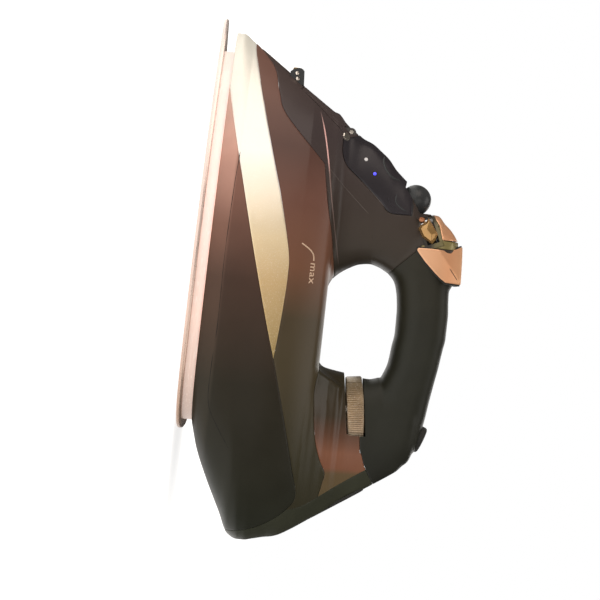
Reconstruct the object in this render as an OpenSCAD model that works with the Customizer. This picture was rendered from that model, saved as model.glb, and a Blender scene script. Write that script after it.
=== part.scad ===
// Steam iron: soleplate down, nose towards +X, left side towards +Y, millimetres.
// The body, pillar, neck and handle are lofts between level outlines, cut into shells
// along the seam lines seen from the side.

/* [Soleplate] */
// Thickness of the soleplate
sole_t = 3; // [2.6:0.1:3]
// Half width of the soleplate
sole_hw = 57; // [55:0.5:58]
// Radius of a steam hole
steam_hole_r = 1.1; // [0.8:0.1:1.6]

/* [Housing] */
// Wall thickness of the plastic shells
wall = 2.4; // [2.2:0.1:2.6]
// Gap round a moving button in its well
well_gap = 0.4; // [0.35:0.05:0.5]

/* [Temperature dial] */
// Outer radius over the ribs
dial_r = 20.6; // [20:0.2:21]
// Thickness of the dial
dial_t = 9.6; // [9:0.2:9.8]
// Number of ribs that a full turn would hold
dial_ribs = 96; // [72:4:108]
// Arc of the rim without ribs, in degrees
smooth_arc = 64; // [40:4:80]

/* [Buttons] */
// Half length of the oval spray button
oval_a = 9.4; // [9:0.1:9.6]
// Half width of the oval spray button
oval_b = 6.2; // [5.5:0.1:6.4]
// Radius of the round steam burst button
dome_r = 9.2; // [9:0.1:9.3]

/* [Cord inlet] */
// Radius of the bore for the supply cord
cord_r = 3.75; // [3:0.05:4]

/* [Hidden] */
wide = 200;          // longer than any cut needs
heater_z = 8.5;      // top of the visible casting edge
casting_top = 19;     // top of the heater casting
chamber_x = 12;       // middle of the steam chamber
gasket_t = 0.8;       // thickness of the chamber's gasket
sole_reach = 199;     // length of the soleplate ahead of its widest station
deck_z = 79.2;       // top of the body under the handle opening
mid_x = -45;         // station of the body's greatest width
pillar_x = 30;       // station of the pillar's greatest width
running = 0.05;      // radial clearance of a running fit

// Seams and profiles seen from the side, as [x, z].
blade_top = [[-44, 52.5], [-20, 54.4], [5, 55.4], [20, 54], [50, 46.2], [90, 34], [130, 23],
    [143, 20.4], [152, 18.6]];
blade_low = [[-44, 52.5], [-20, 45], [20, 33.4], [60, 22.4], [90, 14.2], [113, 8.4]];
skirt_top = [[-44, 52.5], [-75, 61.5], [-105, 69.6], [-122, 73.6], [-131, 69], [-140, 58],
    [-145.2, 46], [-147.5, 31]];
cover_low = [[8, 82.4], [30, 78.5], [50, 73.6], [72, 69.5]];
cover_nose = [[72, 69.5], [98, 44.4], [112, 38.4], [128, 33.4], [143, 20.4]];
fascia_low = [[48.5, 124], [48.5, 111], [55, 104], [66, 91.5], [73, 83.2], [80, 79.6], [89, 79]];
heel_line = [[-104, 113.4], [-116, 96], [-127, 80], [-131, 69]];
handle_low = [[-40, 104], [-88, 108], [-96, 110.2], [-104, 113.4], [-116, 121]];
curve_n = 5;         // steps in each stretch of a seam

// Levels of the body: [z, nose x, tail x, half width]
body_levels = [[8.6, 146.5, -88, 54.5], [13, 146.5, -103, 57], [19.5, 142.4, -118, 60],
    [30, 135.2, -139, 59.4], [36, 131, -151, 58.6], [42, 126.8, -154, 57.4],
    [46, 123.8, -154, 56.4], [52, 119.2, -152.6, 54.4], [60, 113.7, -151, 50.8],
    [66, 109.7, -151, 47.2], [72, 105.7, -149.6, 42.6], [76, 102.8, -147.4, 38.4],
    [deck_z, 100.4, -145.6, 33]];
// Levels of the front pillar: [z, front x, rear x, half width, nose power]
pillar_levels = [[75, 103.6, -2, 28, 1], [80, 98.5, 4, 22, 0.9], [85, 95.6, 9.4, 19.8, 0.8],
    [91, 91, 13.6, 18.2, 0.7], [97, 88.4, 16.4, 17.4, 0.6], [103, 84, 17.3, 17, 0.55],
    [108, 80, 16.2, 17, 0.55], [113, 74.2, 13.8, 17, 0.55], [118, 69.6, 10.8, 17, 0.55],
    [121, 67, 9.6, 17, 0.6], [125, 60, 9, 17, 0.6], [130, 51, 9, 17, 0.6],
    [136, 50.8, 9, 16.8, 0.6], [140.4, 50.4, 9, 16.4, 0.6], [145, 46, 9, 15.8, 0.6],
    [149.5, 42, 9, 14.2, 0.6], [153.2, 36.6, 9, 10, 0.7]];
// Levels of the rear neck: [z, front x, rear x, half width]
neck_levels = [[74, -42, -149, 40], [80, -46, -145.4, 34], [84, -47.4, -143, 29.4],
    [90, -48.4, -139.4, 24.6], [96, -49.2, -135.4, 21.4], [103, -50.8, -131, 19.4],
    [110, -51.3, -126.4, 18.8], [115, -50.4, -123, 18.4], [120, -56, -119.4, 18.2],
    [126, -60, -114.4, 17.8], [131, -62, -109, 17.2], [135, -64, -101.8, 16.4],
    [138.4, -66, -98.2, 14.6], [140.6, -70, -92, 11.6]];
// Stations of the handle bar: [x, underside z, top z, half width]
bar_levels = [[38, 128, 152.4, 15], [32, 124, 153.6, 16.4], [17, 117, 152.8, 17],
    [10, 118.6, 151.7, 17], [0, 121.2, 152.2, 17], [-10, 122.3, 153, 17], [-22, 122.5, 153, 17],
    [-30, 121.5, 151.9, 17], [-40, 120.4, 150.6, 17], [-50, 117, 149, 17], [-60, 113, 147.5, 17],
    [-72, 112, 145.9, 16.8], [-84, 112, 143.6, 16.2], [-94, 113, 140.2, 14.6]];
// Stations of the wing collar: [x, underside z, top z, half width]
wing_levels = [[11, 112, 158, 18.6], [20, 112, 157.4, 19], [30, 113, 156.4, 18.8],
    [34.5, 114, 154.9, 18]];

dial_at = [-71, 0, 103.6];
dial_tilt = 8;
lever_at = [23, 0, 142.9];
lever_tilt = 22.6;
slot_h = 11.6;        // height of the slot that the lever swings in
spray_at = [74.5, 0, 110];
spray_tilt = 52.8;
burst_at = [58.5, 0, 126.2];
burst_tilt = 40;
swivel_at = [-83, 0, 141.5];
swivel_tilt = -20;
hinge_at = [94, 0, 83.2];
hinge_r = 1.2;
sole_screw_at = [[82, 0], [-66, 14], [-66, -14]];
element_y = 30;       // half the width of the heating element's loop
element_x = 20;       // station where the element's loop begins to turn
rod_at = [26, 10];    // axis of the turning valve rod
crank_l = 8;          // reach of the valve rod's crank
mouth_at = [108, 0, 69];
mouth_tilt = 55.9;
lid_t = 1.8;          // thickness of the filler lid
lens_at = [70.5, 99.6];   // middle of a status light, as [x, z]
lens_r = 1.9;
heel_at = [-127.5, 0, 97];
heel_tilt = -56;      // turns +Z to the outward normal of the heel rest

// Catmull-Rom curve through a list of points
function blend(a, b, c, d, t) = 0.5 * (2 * b + (c - a) * t + (2 * a - 5 * b + 4 * c - d) * t * t
    + (3 * b - a - 3 * c + d) * t * t * t);
function curve(p, n = curve_n) = concat([for (i = [0:len(p) - 2]) for (j = [0:n - 1])
    blend(p[max(i - 1, 0)], p[i], p[i + 1], p[min(i + 2, len(p) - 1)], j / n)], [p[len(p) - 1]]);
function part_of(p, first, last) = [for (i = [first:last]) p[i]];
function reversed(p) = [for (i = [len(p) - 1:-1:0]) p[i]];

// Boat-shaped outline: pointed towards nose, rounded at the tail
function half_plan(nose, tail, mid, hw, np, tp, n) = concat(
    [for (i = [n:-1:0]) let (a = 90 * i / n) [mid + (nose - mid) * sin(a),
        i == n ? 0 : hw * pow(cos(a), np)]],
    [for (i = [1:n]) let (a = 90 * i / n) [mid - (mid - tail) * pow(sin(a), tp),
        i == n ? 0 : hw * pow(cos(a), tp)]]);
function both_sides(p) = concat(p, [for (i = [len(p) - 2:-1:1]) [p[i][0], -p[i][1]]]);
function plan(nose, tail, mid, hw, np = 1.6, tp = 0.66, n = 9) =
    both_sides(half_plan(nose, tail, mid, hw, np, tp, n));
function oval(a, b, n = 48) = [for (i = [0:n - 1]) [a * cos(360 * i / n), b * sin(360 * i / n)]];
function rounded(a, b, p = 0.75, n = 28) =
    [for (i = [0:n - 1]) let (t = 360 * (i + 0.5) / n, c = cos(t), s = sin(t))
        [a * sign(c) * pow(abs(c), p), b * sign(s) * pow(abs(s), p)]];

module side_prism(points, width = wide)
    rotate([90, 0, 0]) linear_extrude(width, center = true) polygon(points);
module along_y(r, length, at) translate(at) rotate([90, 0, 0]) cylinder(r = r, h = length, center = true);
module placed(at, tilt) translate(at) rotate([0, tilt, 0]) children();
module rod(r, low, high) translate([0, 0, low]) cylinder(r = r, h = high - low);

// A band between each ring of points and the next
module loft(rings) for (i = [0:len(rings) - 2]) let (n = len(rings[i])) hull() polyhedron(
    points = concat(rings[i], rings[i + 1]),
    faces = concat([[for (k = [0:n - 1]) k]],
        [for (k = [0:n - 1]) [k, n + k, n + (k + 1) % n, (k + 1) % n]],
        [[for (k = [n - 1:-1:0]) n + k]]));
function level(points, z) = [for (p = points) [p[0], p[1], z]];
function nose_power(z) = 1.6 - 0.65 * min(1, max(0, (z - 20) / 40));

// Rings of the lofts, each drawn d millimetres inside the outer face
function body_ring(l, d) = level(
    plan(l[1] - 2 * d, l[2] + (l[0] < 32 ? 2 : 1) * d, mid_x, l[3] - d, nose_power(l[0])),
    min(l[0], deck_z - d));
function pillar_ring(l, d) = level(
    plan(l[1] - 1.2 * d, l[2] + d, min(pillar_x, l[1] - 18), l[3] - d, l[4], 0.7, 7),
    l[0] - (l[0] > 120 ? d : 0));
function neck_ring(l, d) = level(
    plan(l[1] - d, l[2] + d, max((l[1] + l[2]) / 2, mid_x - 30), l[3] - d, 0.75, 0.66, 7),
    l[0] - (l[0] > 130 ? d : 0));
function bar_ring(l, d) = let (middle = (l[1] + l[2]) / 2)
    [for (p = rounded(l[3] - d, (l[2] - l[1]) / 2 - d)) [l[0], p[0], middle + p[1]]];
module body_loft(d) loft(concat(
    d > 1 ? [[for (p = body_ring(body_levels[0], d)) p - [0, 0, 5]]] : [],
    [for (l = body_levels) body_ring(l, d)]));
module pillar_loft(d) loft([for (l = pillar_levels) pillar_ring(l, d)]);
module neck_loft(d) intersection() {
    loft([for (l = neck_levels) neck_ring(l, d)]);
    behind_heel_plane(d);
}
module bar_loft(d, levels) loft([for (l = levels) bar_ring(l, d)]);
module behind_heel_plane(d) placed(heel_at, heel_tilt)
    translate([-wide, -wide, -2 * wide - d]) cube([2 * wide, 2 * wide, 2 * wide]);

module housing(d) {
    intersection() {
        body_loft(d);
        behind_heel_plane(d);
    }
    pillar_loft(d);
    neck_loft(d);
    bar_loft(d, bar_levels);
}
module shell(region, extra = 0) difference() {
    intersection() {
        housing(-extra);
        side_prism(region);
    }
    housing(wall);
}

// Side regions of the shells
function skirt_region() = concat(reversed(curve(blade_low)), curve(skirt_top),
    [[-160, 24], [-160, -5], [113, -5]]);
function blade_region() = concat(curve(blade_top), [[152, 8.4]], reversed(curve(blade_low)));
function tank_region() = concat(part_of(curve(blade_top), 0, 7 * curve_n),
    reversed(curve(cover_nose)), reversed(curve(cover_low)), [[8, 88], [-48, 88], [-48, 53.7]]);
function cover_region() = concat(curve(cover_low), curve(cover_nose),
    [[152, 18.6], [160, 90], [99, 92], [92.4, 87.6]], reversed(curve(fascia_low)),
    [[56, 124], [56, 160], [28, 160], [28, 129.5], [13, 114.5], [8, 114.5]]);
function fascia_region() = concat(curve(fascia_low),
    [[92.4, 87.6], [99, 92], [84, 124], [48.5, 124]]);
function grip_region() = concat([[28, 160], [28, 129.5], [13, 114.5], [-40, 114.5]],
    curve(handle_low), [[-120, 160]]);
function neck_region() = concat([[-48, 53.7], [-48, 92], [-40, 92]],
    part_of(curve(handle_low), 0, 3 * curve_n), curve(heel_line),
    reversed(part_of(curve(skirt_top), 0, 4 * curve_n)));
function heel_region() = concat(part_of(curve(handle_low), 3 * curve_n, 4 * curve_n),
    [[-165, 121], [-165, 24], [-147.5, 24]],
    reversed(part_of(curve(skirt_top), 4 * curve_n, 7 * curve_n)), reversed(curve(heel_line)));
lid_region = [[116.6, 51], [121, 55], [101, 92], [97, 90], [97, 86.8], [91.4, 80.6], [93.6, 78]];
wing_region = [[11, 159], [11, 147], [16, 141], [22, 134.5], [27.4, 129.8], [28.6, 129.2],
    [30, 130], [30.3, 149], [31.2, 152.4], [33.2, 154.6], [33.2, 159]];
deck_x = 35.2;       // rear edge of the deck trim
deck_region = [[deck_x, 139], [53, 132], [56, 160], [deck_x, 160]];

module lever_slot() placed(lever_at, lever_tilt)
    translate([8, -30, -slot_h / 2]) cube([32, 60, slot_h]);
module dial_slot() placed(dial_at, dial_tilt)
    rod(23.6, -dial_t / 2 - 0.8, dial_t / 2 + 0.8);
module spray_well(grow) placed(spray_at, spray_tilt)
    translate([0, 0, -12]) linear_extrude(24) polygon(oval(oval_a + grow, oval_b + grow));
module burst_well(grow) placed(burst_at, burst_tilt) rod(dome_r + grow, -9, 15);

// ---- heated base ----
function hole_y(x, inset) = max(4,
    (sole_hw - inset) * pow(cos(asin(min(1, (max(x, mid_x) - mid_x) / sole_reach))), 1.6));
module steam_holes() for (row = [0:1]) for (i = [0:8]) for (s = [-1, 1])
    let (x = 128 - 17 * i - 8 * row)
        translate([x, s * hole_y(x, 12 + 9 * row), -1])
            cylinder(r = steam_hole_r, h = sole_t + 2, $fn = 20);
module soleplate() color("#d9c6bd") difference() {
    linear_extrude(sole_t) polygon(plan(154, -92, mid_x, sole_hw, 1.6, 0.7, 16));
    steam_holes();
}
module heater_casting() color("#cfc0b2") difference() {
    union() {
        translate([0, 0, sole_t]) linear_extrude(heater_z - sole_t)
            polygon(plan(134.6, -86.5, mid_x, sole_hw - 4.5, 1.6, 0.7, 16));
        translate([0, 0, heater_z]) linear_extrude(casting_top - heater_z)
            polygon(plan(118, -79, mid_x, 46, 1.6, 0.7, 16));
    }
    translate([chamber_x, 0, 11]) linear_extrude(20) polygon(rounded(32, 21, 0.75, 40));
    element_groove();
    for (p = sole_screw_at) translate([p[0], p[1], 12]) cylinder(r = 1.6, h = 20, $fn = 24);
}
module element_groove() translate([0, 0, 10.3]) {
    for (s = [-1, 1]) translate([-90, s * element_y - 4.2, 0]) cube([90 + element_x, 8.4, 20]);
    translate([element_x, 0, 0]) intersection() {
        difference() {
            cylinder(r = element_y + 4.2, h = 20);
            translate([0, 0, -1]) cylinder(r = element_y - 4.2, h = 22);
        }
        translate([0, -50, 0]) cube([60, 100, 20]);
    }
}
module heating_element() color("#8d8580") translate([element_x, 0, 14.5]) {
    rotate([0, 0, -90]) rotate_extrude(angle = 180) translate([element_y, 0]) circle(r = 3.9);
    for (s = [-1, 1]) translate([0, s * element_y, 0]) rotate([0, -90, 0]) cylinder(r = 3.9, h = 100);
}
module element_terminals() color("#e9e4da") for (s = [-1, 1]) translate([-76, s * element_y, 18.5]) {
    rod(3.2, 0, 7);
    translate([-0.4, -3, 7]) cube([0.8, 6, 7]);
}
module chamber_gasket() color("#b5532f") translate([chamber_x, 0, casting_top])
    linear_extrude(gasket_t) difference() {
        polygon(rounded(36, 25, 0.75, 40));
        polygon(rounded(32, 21, 0.75, 40));
    }
module chamber_cover() color("#b9b9b9") difference() {
    translate([chamber_x, 0, casting_top + gasket_t]) linear_extrude(1.5)
        polygon(rounded(36, 25, 0.75, 40));
    translate([rod_at[0], rod_at[1], 0]) cylinder(r = 1.5, h = 40);
    translate([2, 13, 0]) cylinder(r = 1.6, h = 40);
}
module thermostat() color("#e6dccb") difference() {
    union() {
        translate([-91, -10, 19]) cube([20, 20, 9.5]);
        placed(dial_at, dial_tilt) rod(5.2, -78, -66);
    }
    placed(dial_at, dial_tilt) rod(3 + running, -74, -60);
}
module thermal_fuse() color("#f1efe8") translate([-50, -8, 21.4]) {
    rotate([90, 0, 0]) translate([0, 0, -8]) cylinder(r = 2.3, h = 16);
}
module valve_seat() color("#d6b26a") translate([rod_at[0], rod_at[1], 21.3]) difference() {
    rod(5, 0, 9.5);
    rod(2 + running, 2.2, 20);
    rod(0.8, -1, 5);
}
module valve_rod() color("#c9ccce") translate([rod_at[0], rod_at[1], 0]) {
    rod(2, 26, 133);
    rod(3, 128, 133);
    translate([0, -1.2, 128.6]) cube([crank_l, 2.4, 2.2]);
}
module tank_base() color("#5a4a44") difference() {
    union() {
        translate([0, 0, 26]) linear_extrude(2.4) polygon(plan(124, -52, mid_x + 20, 52, 1.5, 0.4));
        translate([-52, 0, 28.4]) rotate([90, 0, 90]) linear_extrude(2) polygon([[-52, 0], [52, 0],
            [47, 24], [40, 34], [29, 44], [-29, 44], [-40, 34], [-47, 24]]);
    }
    translate([rod_at[0], rod_at[1], 0]) cylinder(r = 5, h = 60);
    translate([2, 13, 0]) cylinder(r = 2.4, h = 60);
}
module sole_screws() color("#aeb2b5") for (p = sole_screw_at) translate([p[0], p[1], 0]) {
    rod(1.6, 12.5, 20);
    difference() {
        rod(3.2, 20, 22);
        translate([-0.4, -4, 21.2]) cube([0.8, 8, 2]);
    }
}

// ---- shells ----
module skirt() color("#4a3a34") shell(skirt_region());
module trim_blade() color("#e6d3a4") shell(blade_region());
module tank_shell() color("#6d5148") difference() {
    shell(tank_region());
    lid_clear();
}
module upper_cover() color("#514843") difference() {
    shell(cover_region());
    lever_slot();
    burst_well(well_gap);
    lid_clear();
    lid_pocket();
    along_y(3.4, 17.6, hinge_at);
    side_prism(deck_region);
    side_prism([[116, 42.5], [119, 53], [131, 53], [131, 42.5]], 12.6);
    placed(mouth_at, mouth_tilt) translate([0, 0, -20]) linear_extrude(20) polygon(oval(12, 7.2));
}
module control_fascia() color("#3a3836") difference() {
    shell(fascia_region());
    lever_slot();
    burst_well(well_gap);
    spray_well(well_gap);
    lid_clear();
    lid_pocket();
    along_y(3.4, 17.6, hinge_at);
    for (s = [-1, 1]) along_y(lens_r + running, 16, [lens_at[0], s * 16, lens_at[1]], $fn = 64);
}
module rear_housing() color("#5b5145") difference() {
    union() {
        shell(neck_region());
        intersection() {
            housing(wall - 0.4);
            placed(dial_at, dial_tilt) rod(27, -dial_t / 2 - 3, -dial_t / 2 - 0.8);
            side_prism(neck_region());
        }
    }
    dial_slot();
    placed(dial_at, dial_tilt) rod(4, -30, 0);
}
module heel_cover() color("#54503f") difference() {
    shell(heel_region());
    heel_pad_set(1);
    heel_screw_set(running);
}
module handle_grip() color("#33332d") difference() {
    union() {
        shell(grip_region());
        intersection() {
            housing(wall - 0.4);
            placed(dial_at, dial_tilt) rod(27, dial_t / 2 + 0.8, dial_t / 2 + 3);
            side_prism(grip_region());
        }
    }
    dial_slot();
    lever_slot();
    placed(swivel_at, swivel_tilt) rod(8.4, -3.4, 12);
}
module heel_pad_set(proud) placed(heel_at, heel_tilt) for (s = [-1, 1]) translate([0, s * 11, -1.6])
    linear_extrude(1.6 + proud) polygon(rounded(20, 4, 0.5, 32));
module heel_pads() color("#26241f") heel_pad_set(0.3);
module wing_trim() color("#dba482") difference() {
    intersection() {
        bar_loft(0, wing_levels);
        side_prism(wing_region);
    }
    bar_loft(-0.1, bar_levels);
    pillar_loft(-0.1);
    placed(lever_at, lever_tilt) translate([6.6, -30, -slot_h / 2]) cube([32, 60, slot_h]);
}
module deck_trim() color("#dba482") difference() {
    intersection() {
        pillar_loft(0);
        side_prism(deck_region);
    }
    pillar_loft(wall);
    lever_slot();
}

// ---- filler ----
module lid_clear() side_prism([for (p = lid_region) p + 0.35 * (p - [107, 70]) / norm(p - [107, 70])]);
module lid_pocket() translate([hinge_at[0] - 3.2, -8.2, hinge_at[2] - 9]) cube([6.4, 16.4, 14]);
module lid_web(grow) translate([hinge_at[0] + 1, -4 - grow, hinge_at[2] - 1]) rotate([0, 48, 0])
    translate([0, 0, -grow]) cube([7, 8 + 2 * grow, 1.6 + 2 * grow]);
module lid_solid(d) {
    body_loft(d);
    pillar_loft(d);
}
module filler_lid() color("#3f3b38") difference() {
    intersection() {
        lid_solid(0);
        side_prism(lid_region);
    }
    lid_solid(lid_t);
    along_y(3.3, 17.6, hinge_at);
    lid_pocket();
    lid_web(0.02);
}
module lid_barrel() color("#3f3b38") difference() {
    union() {
        along_y(2.9, 10, hinge_at);
        lid_web(0);
    }
    along_y(hinge_r + running, 20, hinge_at);
}
module lid_hinge_pin() color("#d8d8d8") along_y(hinge_r, 16, hinge_at);
module lid_bracket() color("#3a3836") difference() {
    for (s = [-1, 1]) translate([0, s * 6.5, 0]) union() {
        along_y(2.6, 2, hinge_at);
        translate([hinge_at[0] - 2.6, -1, hinge_at[2] - 8]) cube([5.2, 2, 8]);
    }
    along_y(hinge_r, 20, hinge_at);
}
module lid_seal() color("#6f6a66") intersection() {
    placed(mouth_at, mouth_tilt) difference() {
        translate([0, 0, -5.7]) linear_extrude(5.5) polygon(oval(9, 5.6));
        translate([0, 0, -7]) linear_extrude(9) polygon(oval(7.9, 4.7));
    }
    lid_solid(lid_t + 0.02);
}
module filler_funnel() color("#4c4743") placed(mouth_at, mouth_tilt) difference() {
    union() {
        translate([0, 0, -7.4]) linear_extrude(1.6) polygon(oval(11.6, 6.8));
        translate([0, 0, -17]) linear_extrude(11) polygon(oval(9, 6));
    }
    translate([0, 0, -20]) linear_extrude(30) polygon(oval(7.6, 4.6));
}

// ---- spray ----
module spray_nozzle() color("#3f3b38") difference() {
    side_prism([[117.4, 44], [119, 51.9], [127.4, 51.3], [128.8, 49.6], [129, 47.6], [128, 44.8],
        [126.4, 43]], 12);
    placed([126, 0, 47.2], 84) rod(3.2, 0, 6);
    placed([126, 0, 47.2], 84) rod(1, -12, 6);
}
module nozzle_tip() color("#c9a46b") placed([126, 0, 47.2], 84) difference() {
    rod(3.2, 0, 3.4);
    rod(0.5, -1, 6);
}
module spray_button() color("#3a3a37") placed(spray_at, spray_tilt) {
    translate([0, 0, -6]) linear_extrude(6.6) polygon(oval(oval_a, oval_b));
    rod(3, -12, -6);
}
module burst_button() color("#4b4c48") placed(burst_at, burst_tilt) {
    intersection() {
        sphere(r = dome_r);
        rod(20, -5, 20);
    }
    rod(dome_r * 0.8, -6, -4);
    rod(3, -12, -5);
}
module plunger() rod(4, -34, -12);
module pump() difference() {
    rod(6.4, -41, -20);
    rod(4 + running, -39, -10);
}
module spray_plunger() color("#e8e8e8") placed(spray_at, spray_tilt) plunger();
module burst_plunger() color("#e8e8e8") placed(burst_at, burst_tilt) plunger();
module spray_pump() color("#d7d2c4") placed(spray_at, spray_tilt) pump();
module burst_pump() color("#d7d2c4") placed(burst_at, burst_tilt) pump();

// Round tube swept along points; rings[i] is the ring of point i
function unit(v) = v / norm(v);
function ring_at(p, i, r, sides) = let (
    t = unit(p[min(i + 1, len(p) - 1)] - p[max(i - 1, 0)]),
    side = unit(cross(t, abs(t[1]) < 0.9 ? [0, 1, 0] : [1, 0, 0])),
    up = cross(side, t))
    [for (k = [0:sides - 1]) p[i] + r * (cos(360 * k / sides) * side + sin(360 * k / sides) * up)];
module sweep_tube(p, r, sides = 8) polyhedron(
    points = [for (i = [0:len(p) - 1]) each ring_at(p, i, r, sides)],
    faces = concat([[for (k = [sides - 1:-1:0]) k]],
        [for (i = [0:len(p) - 2]) for (k = [0:sides - 1])
            [i * sides + k, i * sides + (k + 1) % sides, (i + 1) * sides + (k + 1) % sides,
                (i + 1) * sides + k]],
        [[for (k = [0:sides - 1]) (len(p) - 1) * sides + k]]));
module spring(low, high, turns) sweep_tube([for (i = [0:turns * 12]) let (a = 30 * i)
    [5.2 * cos(a), 5.2 * sin(a), low + (high - low) * i / (turns * 12)]], 0.5, 6);
module spray_spring() color("#c0c4c8") placed(spray_at, spray_tilt) spring(-19.3, -6.7, 6);
module burst_spring() color("#c0c4c8") placed(burst_at, burst_tilt) spring(-19.3, -6.7, 6);
spray_route = [[40.9, 0, 84.5], [43, 3, 80], [51, 8, 75], [70, 12, 64], [92, 10, 52], [108, 5, 47],
    [117, 0, 46.6]];
burst_route = [[31.4, 0, 93.4], [27, -6, 84], [14, -4, 66], [2.5, 12.6, 44], [2, 13, 28],
    [2, 13, 21.6]];
module spray_hose() color("#d9d9d2") sweep_tube(curve(spray_route, 6), 1.8);
module burst_hose() color("#d9d9d2") sweep_tube(curve(burst_route, 6), 1.8);

// ---- steam lever ----
gem = [[-8, 0], [-6.4, 2.7], [-3.2, 5.1], [0, 4.3], [7.4, 2.6], [5.4, 0], [4.7, -3.4], [3.2, -5.1],
    [-2.4, -4.2]];
module steam_lever() color("#8f7440") placed(lever_at, lever_tilt) difference() {
    union() {
        rod(6, -4.4, 4.4);
        translate([0, -5, -3.2]) cube([22, 10, 6.4]);
        translate([14.4, -14.4, -3.2]) cube([9.4, 28.8, 6.4]);
    }
    rod(2.5 + running, -10, 10);
}
module lever_grips() color("#b98f4e") placed(lever_at, lever_tilt) for (s = [-1, 1])
    translate([20.6, s * 17.4, 0]) rotate([90, 0, 0]) linear_extrude(6, center = true) polygon(gem);
module lever_pin() color("#c0c4c8") placed(lever_at, lever_tilt) rod(2.5, -9, 5.4);
module lever_post() color("#3a3836") placed(lever_at, lever_tilt) difference() {
    union() {
        rod(5.6, -16, -5);
        translate([-4, -13.6, -16]) cube([8, 27.2, 2.4]);
    }
    rod(2.5, -9, 10);
}

// ---- indicator, dial, cord inlet ----
module indicator_lens() color("#3f6cff") for (s = [-1, 1])
    along_y(lens_r, 4.4, [lens_at[0], s * 11.9, lens_at[1]]);
module indicator_board() color("#3d6b45") translate([64, -8, 84.6]) cube([16, 16, 1.6]);
function on_smooth_arc(a) = min(a, 360 - a) < smooth_arc / 2;
function dial_rim() = [for (i = [0:dial_ribs * 4 - 1])
    let (a = 360 * i / (dial_ribs * 4), deep = i % 4 < 2 && !on_smooth_arc(a))
        (deep ? dial_r - 0.9 : dial_r) * [cos(a), sin(a)]];
module temperature_dial() color("#cdbb95") placed(dial_at, dial_tilt) difference() {
    translate([0, 0, -dial_t / 2]) linear_extrude(dial_t) polygon(dial_rim());
    difference() {
        rod(17.6, -6, dial_t / 2 - 2);
        rod(6, -8, 8);
    }
    rod(3, -8, dial_t / 2 - 2);
}
module dial_cap() color("#8f8668") placed(dial_at, dial_tilt) difference() {
    rod(16, dial_t / 2, dial_t / 2 + 0.5);
    rod(12, dial_t / 2 - 1, dial_t / 2 + 1);
}
module thermostat_spindle() color("#c0c4c8") placed(dial_at, dial_tilt) rod(3, -72, dial_t / 2 - 2);
module cord_swivel() color("#23231f") placed(swivel_at, swivel_tilt) difference() {
    union() {
        rod(8, -3, 4.6);
        rod(6.5, -9, -3);
        rod(9, -12, -9);
    }
    rod(cord_r, -20, 10);
}
module swivel_retainer() color("#44443e") placed(swivel_at, swivel_tilt) difference() {
    rod(10.4, -8.8, -3.6);
    rod(6.5 + running, -10, 0);
}
module terminal_block() color("#ece7da") difference() {
    translate([-124, -13, 40]) cube([16, 26, 12]);
    for (y = [-8, 0, 8]) translate([-116, y, 45]) cylinder(r = 2.2, h = 10);
}
module supply_wires() color("#5b78b8") for (y = [-1, 0, 1])
    sweep_tube(curve([[-78.2, y * 2.4, 127.6], [-88, y * 2.6, 123.4], [-101, y * 3, 114],
        [-107, y * 4, 98], [-115, y * 8, 66], [-116, y * 8, 52.6]]), 1.1, 6);
module heater_wires() color("#b85b4a") for (s = [-1, 1])
    sweep_tube(curve([[-112, s * 8, 39], [-106, s * 12, 35.6], [-84, s * (element_y - 2), 38],
        [-76, s * element_y, 33]]), 1, 6);
module heel_screw_set(grow) for (s = [-1, 1])
    placed([-143.6, s * 26, 60], -76) rod(2 + grow, -6 - grow, 0, $fn = 64);
module heel_screws() color("#aeb2b5") heel_screw_set(0);

soleplate();
heater_casting();
heating_element();
element_terminals();
chamber_gasket();
chamber_cover();
thermostat();
thermal_fuse();
valve_seat();
valve_rod();
tank_base();
sole_screws();
skirt();
trim_blade();
tank_shell();
upper_cover();
control_fascia();
rear_housing();
heel_cover();
heel_pads();
handle_grip();
wing_trim();
deck_trim();
filler_funnel();
filler_lid();
lid_seal();
lid_barrel();
lid_hinge_pin();
lid_bracket();
spray_nozzle();
nozzle_tip();
spray_button();
spray_plunger();
spray_spring();
spray_pump();
spray_hose();
burst_button();
burst_plunger();
burst_spring();
burst_pump();
burst_hose();
steam_lever();
lever_grips();
lever_pin();
lever_post();
indicator_lens();
indicator_board();
temperature_dial();
dial_cap();
thermostat_spindle();
cord_swivel();
swivel_retainer();
terminal_block();
supply_wires();
heater_wires();
heel_screws();
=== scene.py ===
import math

import bmesh
import bpy
import numpy as np
from mathutils import Matrix, Vector


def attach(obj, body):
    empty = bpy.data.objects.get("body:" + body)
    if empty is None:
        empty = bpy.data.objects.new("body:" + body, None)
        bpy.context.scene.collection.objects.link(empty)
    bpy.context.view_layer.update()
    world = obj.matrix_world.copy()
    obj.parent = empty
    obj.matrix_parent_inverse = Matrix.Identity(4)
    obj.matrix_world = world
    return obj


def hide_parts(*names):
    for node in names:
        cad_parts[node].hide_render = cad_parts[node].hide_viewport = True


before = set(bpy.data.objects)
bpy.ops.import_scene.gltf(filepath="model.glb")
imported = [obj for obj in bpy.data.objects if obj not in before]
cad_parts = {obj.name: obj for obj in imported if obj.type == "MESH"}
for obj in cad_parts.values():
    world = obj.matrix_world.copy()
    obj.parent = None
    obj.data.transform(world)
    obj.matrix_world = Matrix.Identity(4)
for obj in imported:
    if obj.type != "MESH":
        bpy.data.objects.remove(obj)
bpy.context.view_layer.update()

MM = 0.001
scene = bpy.context.scene
scene.view_settings.view_transform = "Standard"

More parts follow.
